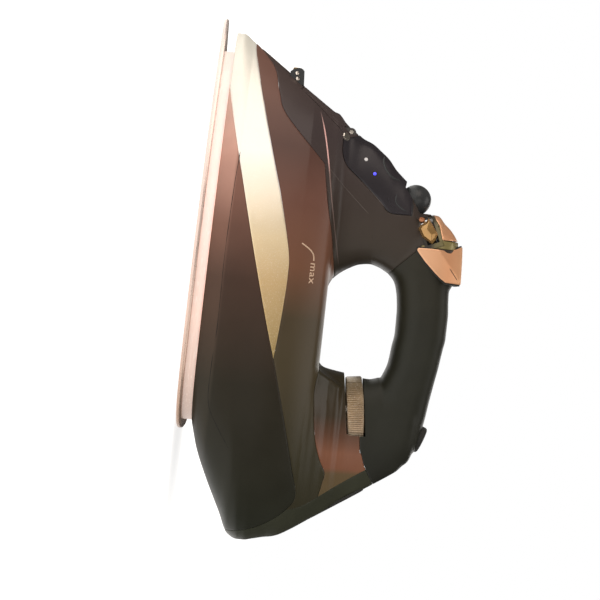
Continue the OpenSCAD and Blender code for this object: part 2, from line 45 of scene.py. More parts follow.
# ---- outlines and tables (mm)
blade_top = [[-44, 52.5], [-20, 54.4], [5, 55.4], [20, 54], [50, 46.2], [90, 34], [130, 23], [143, 20.4],
             [152, 18.6]]
blade_low = [[-44, 52.5], [-20, 45], [20, 33.4], [60, 22.4], [90, 14.2], [113, 8.4]]
skirt_top = [[-44, 52.5], [-75, 61.5], [-105, 69.6], [-122, 73.6], [-131, 69], [-140, 58], [-145.2, 46],
             [-147.5, 31]]
cover_low = [[8, 82.4], [30, 78.5], [50, 73.6], [72, 69.5]]
cover_nose = [[72, 69.5], [98, 44.4], [112, 38.4], [128, 33.4], [143, 20.4]]
fascia_low = [[48.5, 124], [48.5, 111], [55, 104], [66, 91.5], [73, 83.2], [80, 79.6], [89, 79]]
heel_line = [[-104, 113.4], [-116, 96], [-127, 80], [-131, 69]]
handle_low = [[-40, 104], [-88, 108], [-96, 110.2], [-104, 113.4], [-116, 121]]
lid_region = [[116.6, 51], [121, 55], [101, 92], [97, 90], [97, 86.8], [91.4, 80.6], [93.6, 78]]
wing_region = [[10.4, 159], [10.9, 148], [12.6, 145.2], [16, 141], [22, 134.5], [27.2, 129.9], [28.2, 129.3],
               [29.2, 129.3], [29.8, 130.2], [30, 136], [30, 142], [30.2, 147], [30.8, 150.6], [31.8, 153.2],
               [33, 155.2], [33.8, 159]]

body_levels = [[2, 146.5, -70, 51], [8.6, 146.5, -88, 54.5], [13, 146.5, -103, 57], [19.5, 142.4, -118, 60],
               [30, 135.2, -139, 59.4], [36, 131, -151, 58.6], [42, 126.8, -154, 57.4], [46, 123.8, -154,
                                                                                         56.4],
               [52, 119.2, -152.6, 54.4], [60, 113.7, -151, 50.8], [66, 109.7, -151, 47.2],
               [72, 105.7, -149.6, 42.6], [76, 102.8, -147.4, 38.4], [79.2, 100.4, -145.6, 33],
               [86, 96, -142, 26]]
pillar_levels = [[75, 103.6, -2, 28, 1], [80, 98.5, 4, 22, .9], [85, 95.6, 9.4, 19.8, .8],
                 [91, 91, 13.6, 18.2, .7], [97, 88.4, 16.4, 17.4, .6], [103, 84, 17.3, 17, .55],
                 [108, 80, 16.2, 17, .55], [113, 74.2, 13.8, 17, .55], [118, 69.6, 10.8, 17, .55],
                 [121, 67, 9.6, 17, .6], [125, 60, 9, 17, .6], [130, 51, 9, 17, .6], [136, 50.8, 9, 16.8, .6],
                 [140.4, 50.4, 9, 16.4, .6], [145, 46, 9, 15.8, .6], [149.5, 42, 9, 14.2, .6],
                 [153.2, 36.6, 9, 10, .7]]
neck_levels = [[74, -42, -149, 40], [80, -46, -145.4, 34], [84, -47.4, -143, 29.4], [90, -48.4, -139.4, 24.6],
               [96, -49.2, -135.4, 21.4], [103, -50.8, -131, 19.4], [110, -51.3, -126.4, 18.8],
               [115, -50.4, -123, 18.4], [120, -56, -119.4, 18.2], [126, -60, -114.4, 17.8],
               [131, -62, -109, 17.2], [135, -64, -101.8, 16.4], [138.4, -66, -98.2, 14.6],
               [140.6, -70, -92, 11.6]]
bar_levels = [[-94, 113, 140.2, 14.6], [-84, 112, 143.6, 16.2], [-72, 112, 145.9, 16.8], [-60, 113, 147.5,
                                                                                          17],
              [-50, 117, 149, 17], [-40, 120.4, 150.6, 17], [-30, 121.5, 151.9, 17], [-22, 122.5, 153, 17],
              [-10, 122.3, 153, 17], [0, 121.2, 152.2, 17], [10, 118.6, 151.7, 17], [17, 117, 152.8, 17],
              [32, 124, 153.6, 16.4], [38, 128, 152.4, 15]]
MID_X, DECK_Z, WALL, BAR_POWER = -45.0, 79.2, 2.2, 2.667
DIAL_AT, DIAL_TILT, DIAL_R, DIAL_T, DIAL_RIBS, SMOOTH_ARC = (-71, 0, 103.6), 8, 20.6, 9.6, 96, 64
LEVER_AT, LEVER_TILT = (23, 0, 142.9), 22.6
SPRAY_AT, SPRAY_TILT, OVAL_A, OVAL_B = (74.5, 0, 110), 52.8, 9.4, 6.2
BURST_AT, BURST_TILT, DOME_R = (58.5, 0, 126.2), 40, 9.2
SWIVEL_AT, SWIVEL_TILT, CORD_R = (-83, 0, 141.5), -20, 3.75
HINGE_AT = (94, 0, 83.2)
HEEL_AT, HEEL_TILT = (-127.5, 0, 97), -56
JET_AT, JET_TILT = (126, 0, 47.2), 84


def curve(p, n=8):
    p = np.array(p, float)
    out = []
    for i in range(len(p) - 1):
        a, b, c, d = p[max(i - 1, 0)], p[i], p[i + 1], p[min(i + 2, len(p) - 1)]
        for j in range(n):
            t = j / n
            out.append(0.5 * (2 * b + (c - a) * t + (2 * a - 5 * b + 4 * c - d) * t * t
                              + (3 * b - a - 3 * c + d) * t ** 3))
    return np.array(out + [p[-1]])


def smooth_table(rows, step=0.5):
    rows = np.array(rows, float)
    t = rows[:, 0]
    ts = np.arange(t[0], t[-1] + step / 2, step)
    k = np.clip(np.searchsorted(t, ts, side="right") - 1, 0, len(t) - 2)
    h = t[k + 1] - t[k]
    s = (ts - t[k]) / h
    columns = []
    for v in rows[:, 1:].T:
        d = np.diff(v) / np.diff(t)
        same = d[:-1] * d[1:] > 0
        total = np.where(same, d[:-1] + d[1:], 1)
        m = np.concatenate([[d[0]], np.where(same, 2 * d[:-1] * d[1:] / total, 0), [d[-1]]])
        columns.append((2 * s ** 3 - 3 * s ** 2 + 1) * v[k] + (s ** 3 - 2 * s ** 2 + s) * h * m[k]
                       + (-2 * s ** 3 + 3 * s ** 2) * v[k + 1] + (s ** 3 - s ** 2) * h * m[k + 1])
    return ts, columns


def smin(a, b, k):
    h = np.maximum(k - np.abs(a - b), 0) / k
    return np.minimum(a, b) - h * h * k / 4


def smax(a, b, k):
    return -smin(-a, -b, k)


BODY, PILLAR, NECK, BAR = (smooth_table(t) for t in (body_levels, pillar_levels, neck_levels, bar_levels))


def look(table, t):
    return [np.interp(t, table[0], c) for c in table[1]]


def outline_distance(x, y, mid, front, rear, hw, np_, tp):
    """First-order distance to a boat-shaped outline, pointed in front and rounded behind."""
    ahead = x > mid
    length = np.where(ahead, front - mid, mid - rear)
    u = np.abs(x - mid) / length + 1e-6
    v = np.abs(y) / hw + 1e-6
    a = np.where(ahead, 2.0, 2 / tp)
    b = np.where(ahead, 2 / np_, 2 / tp)
    ua, vb = u ** (a - 1), v ** (b - 1)
    g = ua * u + vb * v - 1
    return g / np.sqrt((a * ua / length) ** 2 + (b * vb / hw) ** 2 + (0.5 / hw) ** 2)


def heel_plane(x, z):
    t = math.radians(HEEL_TILT)
    return (x - HEEL_AT[0]) * math.sin(t) + (z - HEEL_AT[2]) * math.cos(t)


def field(x, y, z):
    """Signed, nearly metric: negative inside the housing."""
    nose, tail, hw = look(BODY, z)
    power = 1.6 - 0.65 * np.clip((z - 20) / 40, 0, 1)
    body = outline_distance(x, y, MID_X, nose, tail, hw, power, 0.66)
    rise = np.clip((-46 - x) / 12, 0, 1)
    body = smax(smax(body, z - DECK_Z - 14 * rise * rise * (3 - 2 * rise), 5), 4.6 - z, 0.5)
    front, rear, hw = look(NECK, z)
    mid = np.maximum((front + rear) / 2, MID_X - 30)
    neck = outline_distance(x, y, mid, front, rear, hw, 0.75, 0.66)
    neck = smax(smax(neck, z - neck_levels[-1][0], 4), 70 - z, 12)
    f = smax(smin(body, neck, 3.5), heel_plane(x, z), 3)
    front, rear, hw, power = look(PILLAR, z)
    pillar = outline_distance(x, y, np.minimum(30, front - 18), front, rear, hw, power, 0.7)
    pillar = smax(smax(pillar, z - pillar_levels[-1][0], 3), pillar_levels[0][0] - z, 1)
    f = smin(f, pillar, 4)
    low, top, hw = look(BAR, x)
    centre, half = (low + top) / 2, (top - low) / 2
    u, v = np.abs(y) / hw + 1e-6, np.abs(z - centre) / half + 1e-6
    up, vp = u ** (BAR_POWER - 1), v ** (BAR_POWER - 1)
    slope = (BAR_POWER * up / hw) ** 2 + (BAR_POWER * vp / half) ** 2
    bar = (up * u + vp * v - 1) / np.sqrt(slope + (0.5 / half) ** 2)
    bar = smax(smax(bar, x - bar_levels[-1][0], 4), bar_levels[0][0] - x, 6)
    return smin(f, bar, 4)


def gradient(v, f=field, e=0.05):
    g = np.empty_like(v)
    for k in range(3):
        d = np.zeros(3)
        d[k] = e
        a, b = v + d, v - d
        g[:, k] = (f(a[:, 0], a[:, 1], a[:, 2]) - f(b[:, 0], b[:, 1], b[:, 2])) / (2 * e)
    return g


def surface_net(values, origin, h):
    """Quads round the zero level of a grid of values (negative inside)."""
    inside = values < 0
    shape = values.shape
    cells, places, quads = [], [], []
    for ax in range(3):
        a, b = (ax + 1) % 3, (ax + 2) % 3
        low, high = [slice(None)] * 3, [slice(None)] * 3
        low[ax], high[ax] = slice(0, -1), slice(1, None)
        e = np.argwhere(inside[tuple(low)] != inside[tuple(high)])
        e1 = e.copy()
        e1[:, ax] += 1
        f0, f1 = values[tuple(e.T)], values[tuple(e1.T)]
        p = e.astype(float)
        p[:, ax] += f0 / (f0 - f1)
        ring = []
        for da, db in ((0, 0), (-1, 0), (-1, -1), (0, -1)):
            c = e.copy()
            c[:, a] += da
            c[:, b] += db
            ring.append((c[:, 0] * shape[1] + c[:, 1]) * shape[2] + c[:, 2])
        quad = np.stack(ring, 1)
        flip = ~inside[tuple(e.T)]
        quad[flip] = quad[flip][:, ::-1]
        quads.append(quad)
        cells += ring
        places += [p] * 4
    cells, places, quads = np.concatenate(cells), np.concatenate(places), np.concatenate(quads)
    ids, inverse = np.unique(cells, return_inverse=True)
    count = np.bincount(inverse)
    v = np.stack([np.bincount(inverse, places[:, k]) / count for k in range(3)], 1)
    return np.array(origin) + h * v, np.searchsorted(ids, quads)


def grid_values(f, low, high, h):
    axes = [np.arange(a, b + h / 2, h) for a, b in zip(low, high)]
    return f(axes[0][:, None, None], axes[1][None, :, None], axes[2][None, None, :])


def settle(v, f, level, rounds=3):
    """Newton steps that bring points onto the level surface of f."""
    v = v.copy()
    for _ in range(rounds):
        g = gradient(v, f)
        d = (f(v[:, 0], v[:, 1], v[:, 2]) - level) / np.maximum((g * g).sum(1), 0.05)
        step = d[:, None] * g
        size = np.linalg.norm(step, axis=1, keepdims=True)
        v -= step * np.minimum(1, 0.6 / np.maximum(size, 1e-9))
    return v


def level_mesh(values, low, h, level, f=field):
    v, q = surface_net(values - level, low, h)
    return settle(v, f, level), q


# ---- mesh helpers
def make_object(name, verts, faces):
    mesh = bpy.data.meshes.new(name)
    verts = np.asarray(verts, float)
    mesh.from_pydata([tuple(p) for p in verts], [], [tuple(int(i) for i in f) for f in faces])
    mesh.update()
    obj = bpy.data.objects.new(name, mesh)
    scene.collection.objects.link(obj)
    return obj


def area_sign(poly):
    x, z = poly[:, 0], poly[:, 1]
    return 1 if np.sum(x * np.roll(z, -1) - np.roll(x, -1) * z) > 0 else -1


def inset(poly, d):
    """Polygon moved inwards by d."""
    p = np.array(poly, float)
    keep = np.linalg.norm(p - np.roll(p, 1, 0), axis=1) > 1e-6
    p = p[keep]
    if area_sign(p) < 0:
        p = p[::-1]
    e = np.roll(p, -1, 0) - p
    n = np.stack([-e[:, 1], e[:, 0]], 1) / np.linalg.norm(e, axis=1, keepdims=True)
    before = np.roll(n, 1, 0)
    bis = n + before
    bis /= np.linalg.norm(bis, axis=1, keepdims=True)
    scale = d / np.maximum((bis * n).sum(1), 0.35)
    return p + bis * scale[:, None]


def prism(poly, half=90.0, low=None):
    """Solid between y = low and y = half (or -half) over an x, z polygon."""
    p = np.array(poly, float)
    if area_sign(p) < 0:
        p = p[::-1]
    n = len(p)
    y0 = -half if low is None else low
    verts = [(x, y0, z) for x, z in p] + [(x, half, z) for x, z in p]
    faces = [list(range(n)), list(range(2 * n - 1, n - 1, -1))]
    faces += [[i + n, (i + 1) % n + n, (i + 1) % n, i] for i in range(n)]
    return make_object("cutter", verts, faces)


def tilted(at, tilt):
    return Matrix.Translation(at) @ Matrix.Rotation(math.radians(tilt), 4, "Y")


def ring_quads(count, n):
    """Quads between neighbours of a row of rings with n points each."""
    return [(k * n + i, k * n + (i + 1) % n, (k + 1) * n + (i + 1) % n, (k + 1) * n + i)
            for k in range(count - 1) for i in range(n)]


def spun(profile, n=96, scale=(1, 1)):
    """Closed solid from (radius, height) pairs, with the radius scaled in x and y."""
    verts = []
    for r, z in profile:
        for i in range(n):
            a = 2 * math.pi * i / n
            verts.append((r * scale[0] * math.cos(a), r * scale[1] * math.sin(a), z))
    ends = [tuple(range(n - 1, -1, -1)), tuple(range(len(verts) - n, len(verts)))]
    return verts, ring_quads(len(profile), n) + ends


def stack(rings):
    """Closed solid through rings with the same number of points."""
    n = len(rings[0])
    verts = [tuple(p) for r in rings for p in r]
    ends = [tuple(range(n - 1, -1, -1)), tuple(range(len(verts) - n, len(verts)))]
    return verts, ends + ring_quads(len(rings), n)


def placed(name, solid, at=(0, 0, 0), tilt=0):
    """Object from a (verts, faces) pair, tilted about y and moved to its place."""
    obj = make_object(name, *solid)
    obj.data.transform(tilted(at, tilt))
    return obj


def add_solid(verts, faces, solid):
    """Adds a (verts, faces) pair to a mesh that is being collected."""
    start = len(verts)
    verts += solid[0]
    faces += [tuple(i + start for i in face) for face in solid[1]]


def face_out(obj):
    bm = bmesh.new()
    bm.from_mesh(obj.data)
    bmesh.ops.recalc_face_normals(bm, faces=bm.faces)
    bm.to_mesh(obj.data)
    bm.free()


def cylinder(r, low, high, at=(0, 0, 0), tilt=0, n=96, scale=(1, 1)):
    return placed("cutter", spun([(r, low), (r, high)], n, scale), at, tilt)


def block(low, high, at=(0, 0, 0), tilt=0):
    x0, y0, z0 = low
    x1, y1, z1 = high
    ring = [(x0, y0), (x1, y0), (x1, y1), (x0, y1)]
    return placed("cutter", stack([[(x, y, z) for x, y in ring] for z in (z0, z1)]), at, tilt)


def less(*cutters):
    return [("DIFFERENCE", cutter) for cutter in cutters]


def boolean(obj, *steps):
    for operation, cutter in steps:
        m = obj.modifiers.new("cut", "BOOLEAN")
        m.object, m.operation, m.solver = cutter, operation, "MANIFOLD"
    graph = bpy.context.evaluated_depsgraph_get()
    graph.update()
    mesh = bpy.data.meshes.new_from_object(obj.evaluated_get(graph))
    obj.modifiers.clear()
    old, obj.data = obj.data, mesh
    bpy.data.meshes.remove(old)
    return obj


def coords(mesh):
    co = np.empty(len(mesh.vertices) * 3)
    mesh.vertices.foreach_get("co", co)
    return co.reshape(-1, 3)


def edge_distance(points, poly):
    """Distance of x, z points from the outline of a polygon, and the outward direction there."""
    a = np.array(poly, float)
    b = np.roll(a, -1, 0)
    best = np.full(len(points), 1e9)
    away = np.zeros((len(points), 2))
    sign = area_sign(a)
    for p, q in zip(a, b):
        e = q - p
        length = max(np.hypot(*e), 1e-9)
        t = np.clip(((points - p) @ e) / length ** 2, 0, 1)
        d = np.linalg.norm(points - (p + t[:, None] * e), axis=1)
        closer = d < best
        best[closer] = d[closer]
        away[closer] = sign * np.array([e[1], -e[0]]) / length
    return best, away


def soften(obj, poly, f=field, level=0.0, width=0.8, drop=0.22):
    """Rounds the seam edges of a panel and gives its outer face the normals of the smooth field."""
    mesh = obj.data
    v = coords(mesh)
    outer = np.abs(f(v[:, 0], v[:, 1], v[:, 2]) - level) < 0.06
    n = gradient(v, f)
    n /= np.maximum(np.linalg.norm(n, axis=1, keepdims=True), 1e-9)
    dist, away = edge_distance(v[:, [0, 2]], poly)
    near = outer & (dist < width)
    w = np.where(near, 1 - dist / width, 0)
    v -= n * (drop * w * w)[:, None]
    tilt = np.stack([away[:, 0], np.zeros(len(v)), away[:, 1]], 1)
    tilt -= n * (tilt * n).sum(1, keepdims=True)
    tilted_n = n + tilt * (0.6 * w)[:, None]
    tilted_n /= np.linalg.norm(tilted_n, axis=1, keepdims=True)
    mesh.vertices.foreach_set("co", v.ravel())
    mesh.update()
    loops = np.empty(len(mesh.loops), int)
    mesh.loops.foreach_get("vertex_index", loops)
    total = np.empty(len(mesh.polygons), int)
    mesh.polygons.foreach_get("loop_total", total)
    face_n = np.empty(len(mesh.polygons) * 3)
    mesh.polygons.foreach_get("normal", face_n)
    face_n = face_n.reshape(-1, 3)
    owner = np.repeat(np.arange(len(total)), total)
    hits = np.bincount(owner, outer[loops].astype(float))
    is_outer = hits >= total - 0.5
    mean = np.stack([np.bincount(owner, n[loops, k]) for k in range(3)], 1)
    is_outer &= (mean * face_n).sum(1) > 0.3 * total
    normals = np.where(is_outer[owner][:, None], tilted_n[loops], face_n[owner])
    mesh.shade_smooth()
    mesh.normals_split_custom_set([tuple(p) for p in normals])
    obj["smooth_done"] = True
    return obj


def piece(obj, name, mat, body="housing", replaces=(), angle=35, bevel=0, segments=2):
    """Scales a finished piece from mm to m, gives it its material and puts it on its body."""
    obj.name = obj.data.name = name
    obj.data.transform(Matrix.Scale(MM, 4))
    if bevel:
        m = obj.modifiers.new("bevel", "BEVEL")
        m.width, m.segments, m.limit_method = bevel * MM, segments, "ANGLE"
        m.angle_limit = math.radians(angle)
        m.harden_normals = True
    obj.data.materials.clear()
    obj.data.materials.append(mat)
    if "smooth_done" in obj:
        del obj["smooth_done"]
    else:
        obj.data.shade_smooth()
        obj.data.set_sharp_from_angle(angle=math.radians(angle))
    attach(obj, body)
    if replaces:
        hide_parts(*replaces)
    return obj


def drop(*objs):
    for o in objs:
        mesh = o.data
        bpy.data.objects.remove(o)
        if mesh.users == 0:
            bpy.data.meshes.remove(mesh)


# ---- materials
def srgb(r, g, b):
    return tuple(c / 12.92 / 255 if c < 10.3 else ((c / 255 + 0.055) / 1.055) ** 2.4 for c in (r, g, b))


def material(name, colour, rough, metal=0.0, coat=0.0, vary=0.12, patch=45, grain=1800, bump=0.04,
             rough_span=0.06, stops=None, speck=0.0, glow=None, sheen=0.0, brushed=None, spec=0.5,
             axis=0, low_stops=None, low_z=None):
    """Moulded or metal finish, with colours from 0 to 255.

    stops are (place in mm along the axis, r, g, b) rows, and on several parts they hold painted light and
    shade as well as colour. low_stops are the same for the part of the surface below low_z, a (start, end)
    pair in mm.
    """
    m = bpy.data.materials.new(name)
    m.use_nodes = True
    t = m.node_tree
    link = t.links.new
    shader = t.nodes["Principled BSDF"]
    place = t.nodes.new("ShaderNodeTexCoord").outputs["Object"]
    if brushed:
        mapping = t.nodes.new("ShaderNodeMapping")
        mapping.inputs["Scale"].default_value = brushed
        link(place, mapping.inputs["Vector"])
        fine_place = mapping.outputs["Vector"]
    else:
        fine_place = place

    def noise(scale, detail, where):
        n = t.nodes.new("ShaderNodeTexNoise")
        n.inputs["Scale"].default_value = scale
        n.inputs["Detail"].default_value = detail
        link(where, n.inputs["Vector"])
        return n.outputs["Fac"]

    def mapped(value, low, high, a=0.3, b=0.7):
        r = t.nodes.new("ShaderNodeMapRange")
        for key, number in (("From Min", a), ("From Max", b), ("To Min", low), ("To Max", high)):
            r.inputs[key].default_value = number
        link(value, r.inputs["Value"])
        return r.outputs["Result"]

    broad, fine = noise(patch, 3, place), noise(grain, 2, fine_place)
    split = t.nodes.new("ShaderNodeSeparateXYZ")
    link(place, split.inputs[0])

    def ramped(pairs):
        lo, hi = pairs[0][0], pairs[-1][0]
        ramp = t.nodes.new("ShaderNodeValToRGB")
        while len(ramp.color_ramp.elements) < len(pairs):
            ramp.color_ramp.elements.new(0.5)
        for e, (x, *c) in zip(ramp.color_ramp.elements, pairs):
            e.position = (x - lo) / (hi - lo)
            e.color = (*srgb(*c), 1)
        link(mapped(split.outputs[axis], 0, 1, lo * MM, hi * MM), ramp.inputs["Fac"])
        return ramp.outputs["Color"]

    base = ramped(stops) if stops else None
    if low_stops:
        both = t.nodes.new("ShaderNodeMix")
        both.data_type = "RGBA"
        link(mapped(split.outputs[2], 1, 0, low_z[0] * MM, low_z[1] * MM), both.inputs["Factor"])
        link(base, both.inputs["A"])
        link(ramped(low_stops), both.inputs["B"])
        base = both.outputs["Result"]
    hue = t.nodes.new("ShaderNodeHueSaturation")
    link(mapped(broad, 1 - vary, 1 + vary), hue.inputs["Value"])
    if base:
        link(base, hue.inputs["Color"])
    else:
        hue.inputs["Color"].default_value = (*srgb(*colour), 1)
    out = hue.outputs["Color"]
    if speck:
        mix = t.nodes.new("ShaderNodeMix")
        mix.data_type, mix.blend_type = "RGBA", "SCREEN"
        link(mapped(fine, 0, speck, 0.55, 0.75), mix.inputs["Factor"])
        link(out, mix.inputs["A"])
        mix.inputs["B"].default_value = (1, 0.95, 0.85, 1)
        out = mix.outputs["Result"]
    link(out, shader.inputs["Base Color"])
    link(mapped(broad, rough - rough_span / 2, rough + rough_span), shader.inputs["Roughness"])
    for key, number in (("Metallic", metal), ("Specular IOR Level", spec), ("Coat Weight", coat),
                        ("Coat Roughness", 0.2), ("Sheen Weight", sheen)):
        shader.inputs[key].default_value = number
    if glow:
        shader.inputs["Emission Color"].default_value = (*srgb(*glow[0]), 1)
        shader.inputs["Emission Strength"].default_value = glow[1]
    b = t.nodes.new("ShaderNodeBump")
    b.inputs["Strength"].default_value = bump
    b.inputs["Distance"].default_value = 0.0004
    link(fine, b.inputs["Height"])
    link(b.outputs["Normal"], shader.inputs["Normal"])
    return m


M = {
    # Sole colour stops: partly the plate's own tone, partly painted light, lighter towards the nose as if lit
    # from there.
    "sole": material("polished_sole", None, 0.26, metal=0.7, vary=0.05, grain=900, bump=0.05,
        brushed=(0.12, 1, 1), stops=[(-92, 190, 158, 136), (-20, 228, 202, 188), (60, 238, 216, 206),
        (154, 236, 220, 212)]),
    # Cast aluminium: the stops are partly painted light, lighter towards the nose, and the glow is painted
    # light that lifts the edge out of the shade under the skirt.
    "aluminium": material("cast_aluminium", None, 0.45, metal=0.2, vary=0.07, grain=1400, bump=0.12,
        brushed=(0.08, 1, 1), speck=0.3, glow=((250, 230, 220), 0.38), stops=[(-92, 160, 132, 112),
        (-20, 224, 192, 176), (60, 248, 226, 216), (154, 250, 244, 238)]),
    # Skirt colour stops: partly the brown's own tone, partly painted light and reflection, lighter towards
    # the nose; the lighter low_stops below z 18 to 20 are painted light on the lower bevel.
    "skirt": material("skirt_brown", None, 0.42, coat=0.03, spec=0.2, vary=0.08, grain=2600, bump=0.03,
        stops=[(-150, 34, 36, 27), (-60, 38, 33, 22), (0, 64, 45, 35), (30, 96, 66, 54), (70, 128, 88, 74),
        (140, 160, 114, 98)], low_z=(18, 20), low_stops=[(-150, 36, 37, 28), (-60, 48, 42, 31),
        (0, 80, 58, 46), (30, 118, 84, 70), (70, 184, 140, 124), (140, 222, 184, 170)]),
    # Blade colour stops: the satin gold is its own colour, and its paling to near white towards the nose is a
    # painted highlight.
    "gold": material("gold_satin", None, 0.42, metal=0.45, coat=0.1, vary=0.04, grain=2200, bump=0.08,
        speck=0.3, stops=[(-44, 158, 134, 82), (0, 202, 172, 124), (25, 226, 204, 164), (50, 238, 226, 204),
        (75, 240, 236, 226), (150, 232, 228, 214)]),
    # Tank colour stops: partly the smoky plastic's own tone, partly painted light, lighter towards the nose.
    "tank": material("tank_smoke", None, 0.36, coat=0.05, spec=0.22, vary=0.07, patch=30, grain=900,
        bump=0.015, stops=[(-154, 43, 41, 28), (-100, 50, 46, 30), (-48, 66, 57, 39), (-20, 67, 56, 39),
        (10, 102, 68, 49), (50, 99, 66, 54), (80, 80, 55, 47), (110, 99, 70, 60), (145, 103, 74, 63)]),
    # Cover colour stops: partly the dark plastic's own tone, partly painted light, lighter towards the nose.
    "cover": material("cover_dark", None, 0.38, coat=0.05, spec=0.25, vary=0.07, patch=30, grain=1500,
        bump=0.02, stops=[(-10, 45, 42, 32), (40, 55, 46, 39), (90, 60, 50, 49), (145, 66, 54, 49)]),
    "fascia": material("handle_black", (38, 34, 37), 0.34, coat=0.1, spec=0.25, vary=0.08, grain=1500,
        bump=0.03),
    # Neck colour stops: the olive is the neck's own colour; the salmon band from x -108 to -86 is a painted
    # reflection on the bulge under the dial.
    "rear": material("neck_olive", None, 0.34, coat=0.1, spec=0.28, vary=0.1, patch=30, grain=1500,
        bump=0.02, stops=[(-150, 60, 56, 38), (-122, 80, 67, 43), (-108, 86, 69, 45), (-105, 110, 70, 49),
        (-96, 116, 75, 54), (-86, 88, 58, 41), (-74, 55, 44, 29), (-45, 46, 42, 27)]),
    "heel": material("heel_dark", (46, 47, 35), 0.42, coat=0.03, spec=0.2, vary=0.1, grain=1500, bump=0.03),
    "grip": material("handle_soft", None, 0.44, coat=0.0, spec=0.22, vary=0.1, grain=3000, bump=0.12,
        stops=[(-125, 30, 31, 26), (-80, 36, 36, 28), (-30, 36, 36, 28), (30, 42, 39, 29)]),
    "rose": material("rose_gold", None, 0.36, metal=0.5, coat=0.2, vary=0.05, grain=2600, bump=0.04, axis=2,
        stops=[(126, 228, 178, 140), (143, 214, 160, 120), (149, 216, 156, 114), (160, 222, 170, 128)]),
    "band": material("band_olive", (128, 116, 72), 0.3, metal=0.4, coat=0.3, vary=0.1, bump=0.03),
    "gem": material("gem_gold", (176, 136, 82), 0.2, metal=0.65, coat=0.4, vary=0.12, patch=140, bump=0.03),
    # Dial colour stops: the gold is the dial's own colour; its paler rear edge and darker front are painted
    # light, also on the dial cap.
    "dial": material("dial_gold", None, 0.34, metal=0.6, coat=0.2, vary=0.12, patch=120, grain=1600,
        bump=0.08, speck=0.4, stops=[(-92, 206, 184, 156), (-74, 186, 162, 132), (-50, 124, 108, 80)]),
    "button": material("button_dark", (46, 47, 47), 0.34, coat=0.08, spec=0.28, vary=0.08, patch=90,
        grain=2200, bump=0.04),
    "chrome": material("steel_fitting", (226, 214, 200), 0.14, metal=1, vary=0.08, patch=200, bump=0.06),
    "brass": material("brass_fitting", (150, 124, 84), 0.24, metal=1, vary=0.1, patch=200, bump=0.08),
    "lens": material("lens_blue", (60, 70, 210), 0.1, coat=0.8, vary=0.1, patch=300, bump=0.02,
        glow=((70, 60, 255), 1.4)),
    "rubber": material("rubber_black", (34, 33, 29), 0.62, vary=0.12, grain=2600, bump=0.25, sheen=0.1,
        spec=0.3),
    "mark": material("fill_mark", (190, 160, 134), 0.5, vary=0.06, grain=3000, bump=0.05),
    # Ridge bead colour stops: dark plastic at both ends, with a painted pink highlight from x 74 to 94.
    "ridge": material("ridge_painted_highlight", None, 0.3, coat=0.2, vary=0.06, grain=1500, bump=0.02,
        stops=[(10, 66, 55, 48), (30, 84, 68, 60), (66, 112, 88, 80), (76, 206, 158, 150),
        (92, 200, 152, 144), (104, 74, 62, 58)]),
    # Brown for slim lines, lighter than the dark plastics they lie on; along the fascia's lower edge it is a
    # painted highlight.
    "line": material("line_brown", (74, 64, 58), 0.35, coat=0.1, vary=0.06, grain=1500, bump=0.02),
    "pocket": material("pocket_olive", None, 0.34, metal=0.1, coat=0.1, vary=0.1, grain=1500, bump=0.02,
        axis=2, stops=[(128, 52, 45, 38), (137, 54, 48, 38), (140, 104, 95, 60), (150, 112, 102, 64)]),
    "copper": material("copper_stud", (150, 96, 62), 0.3, metal=0.6, coat=0.2, vary=0.2, patch=300,
        grain=3000, bump=0.15),
    "white_dot": material("white_dot", (196, 192, 190), 0.35, vary=0.04, grain=3000, bump=0.05),
    "liner": material("liner_black", (18, 17, 15), 0.6, vary=0.1, grain=1200, bump=0.05, spec=0.2),
    "floor": material("floor_pale", (205, 204, 202), 1.0, vary=0.004, patch=4, grain=300, bump=0.01, spec=0,
        rough_span=0, glow=((255, 255, 255), 0.75)),
}
for slot, args in {
    "element_steel": ((141, 133, 128), 0.35, 0.9), "silicone_red": ((181, 83, 47), 0.55, 0),
    "ceramic_cream": ((230, 220, 203), 0.5, 0), "white_sleeve": ((236, 233, 224), 0.6, 0),
    "board_green": ((54, 100, 66), 0.35, 0), "pump_white": ((215, 210, 196), 0.4, 0),
    "hose_clear": ((205, 204, 194), 0.25, 0), "wire_blue": ((70, 104, 170), 0.45, 0),
    "wire_red": ((176, 70, 54), 0.45, 0), "tank_inner": ((84, 68, 60), 0.3, 0),
    "cover_inner": ((58, 52, 48), 0.35, 0),
}.items():
    M[slot] = material(slot, args[0], args[1], metal=args[2], vary=0.12, patch=80, grain=1500, bump=0.08)

# ---- the housing as one smooth field
H = 1.0
LOW, HIGH = (-158.0, -66.0, 3.0), (152.0, 66.0, 157.0)
half_values = grid_values(field, (LOW[0], 0.0, LOW[2]), HIGH, H)
values = np.concatenate([half_values[:, :0:-1], half_values], 1)
outer_v, outer_q = level_mesh(values, LOW, H, 0.0)
inner_v, inner_q = level_mesh(values, LOW, H, -WALL)
for v in (outer_v, inner_v):
    v[:, 0] = np.clip(v[:, 0], -154, 154)
    v[:, 1] = np.clip(v[:, 1], -60, 60)


def shell_object(inner, outer):
    """Closed shell between an inner and an outer (verts, quads) pair."""
    (iv, iq), (ov, oq) = inner, outer
    return make_object("shell", np.concatenate([ov, iv]), list(oq) + [q[::-1] + len(ov) for q in iq])


master = shell_object((inner_v, inner_q), (outer_v, outer_q))
inner_solid = make_object("inner", inner_v, inner_q)


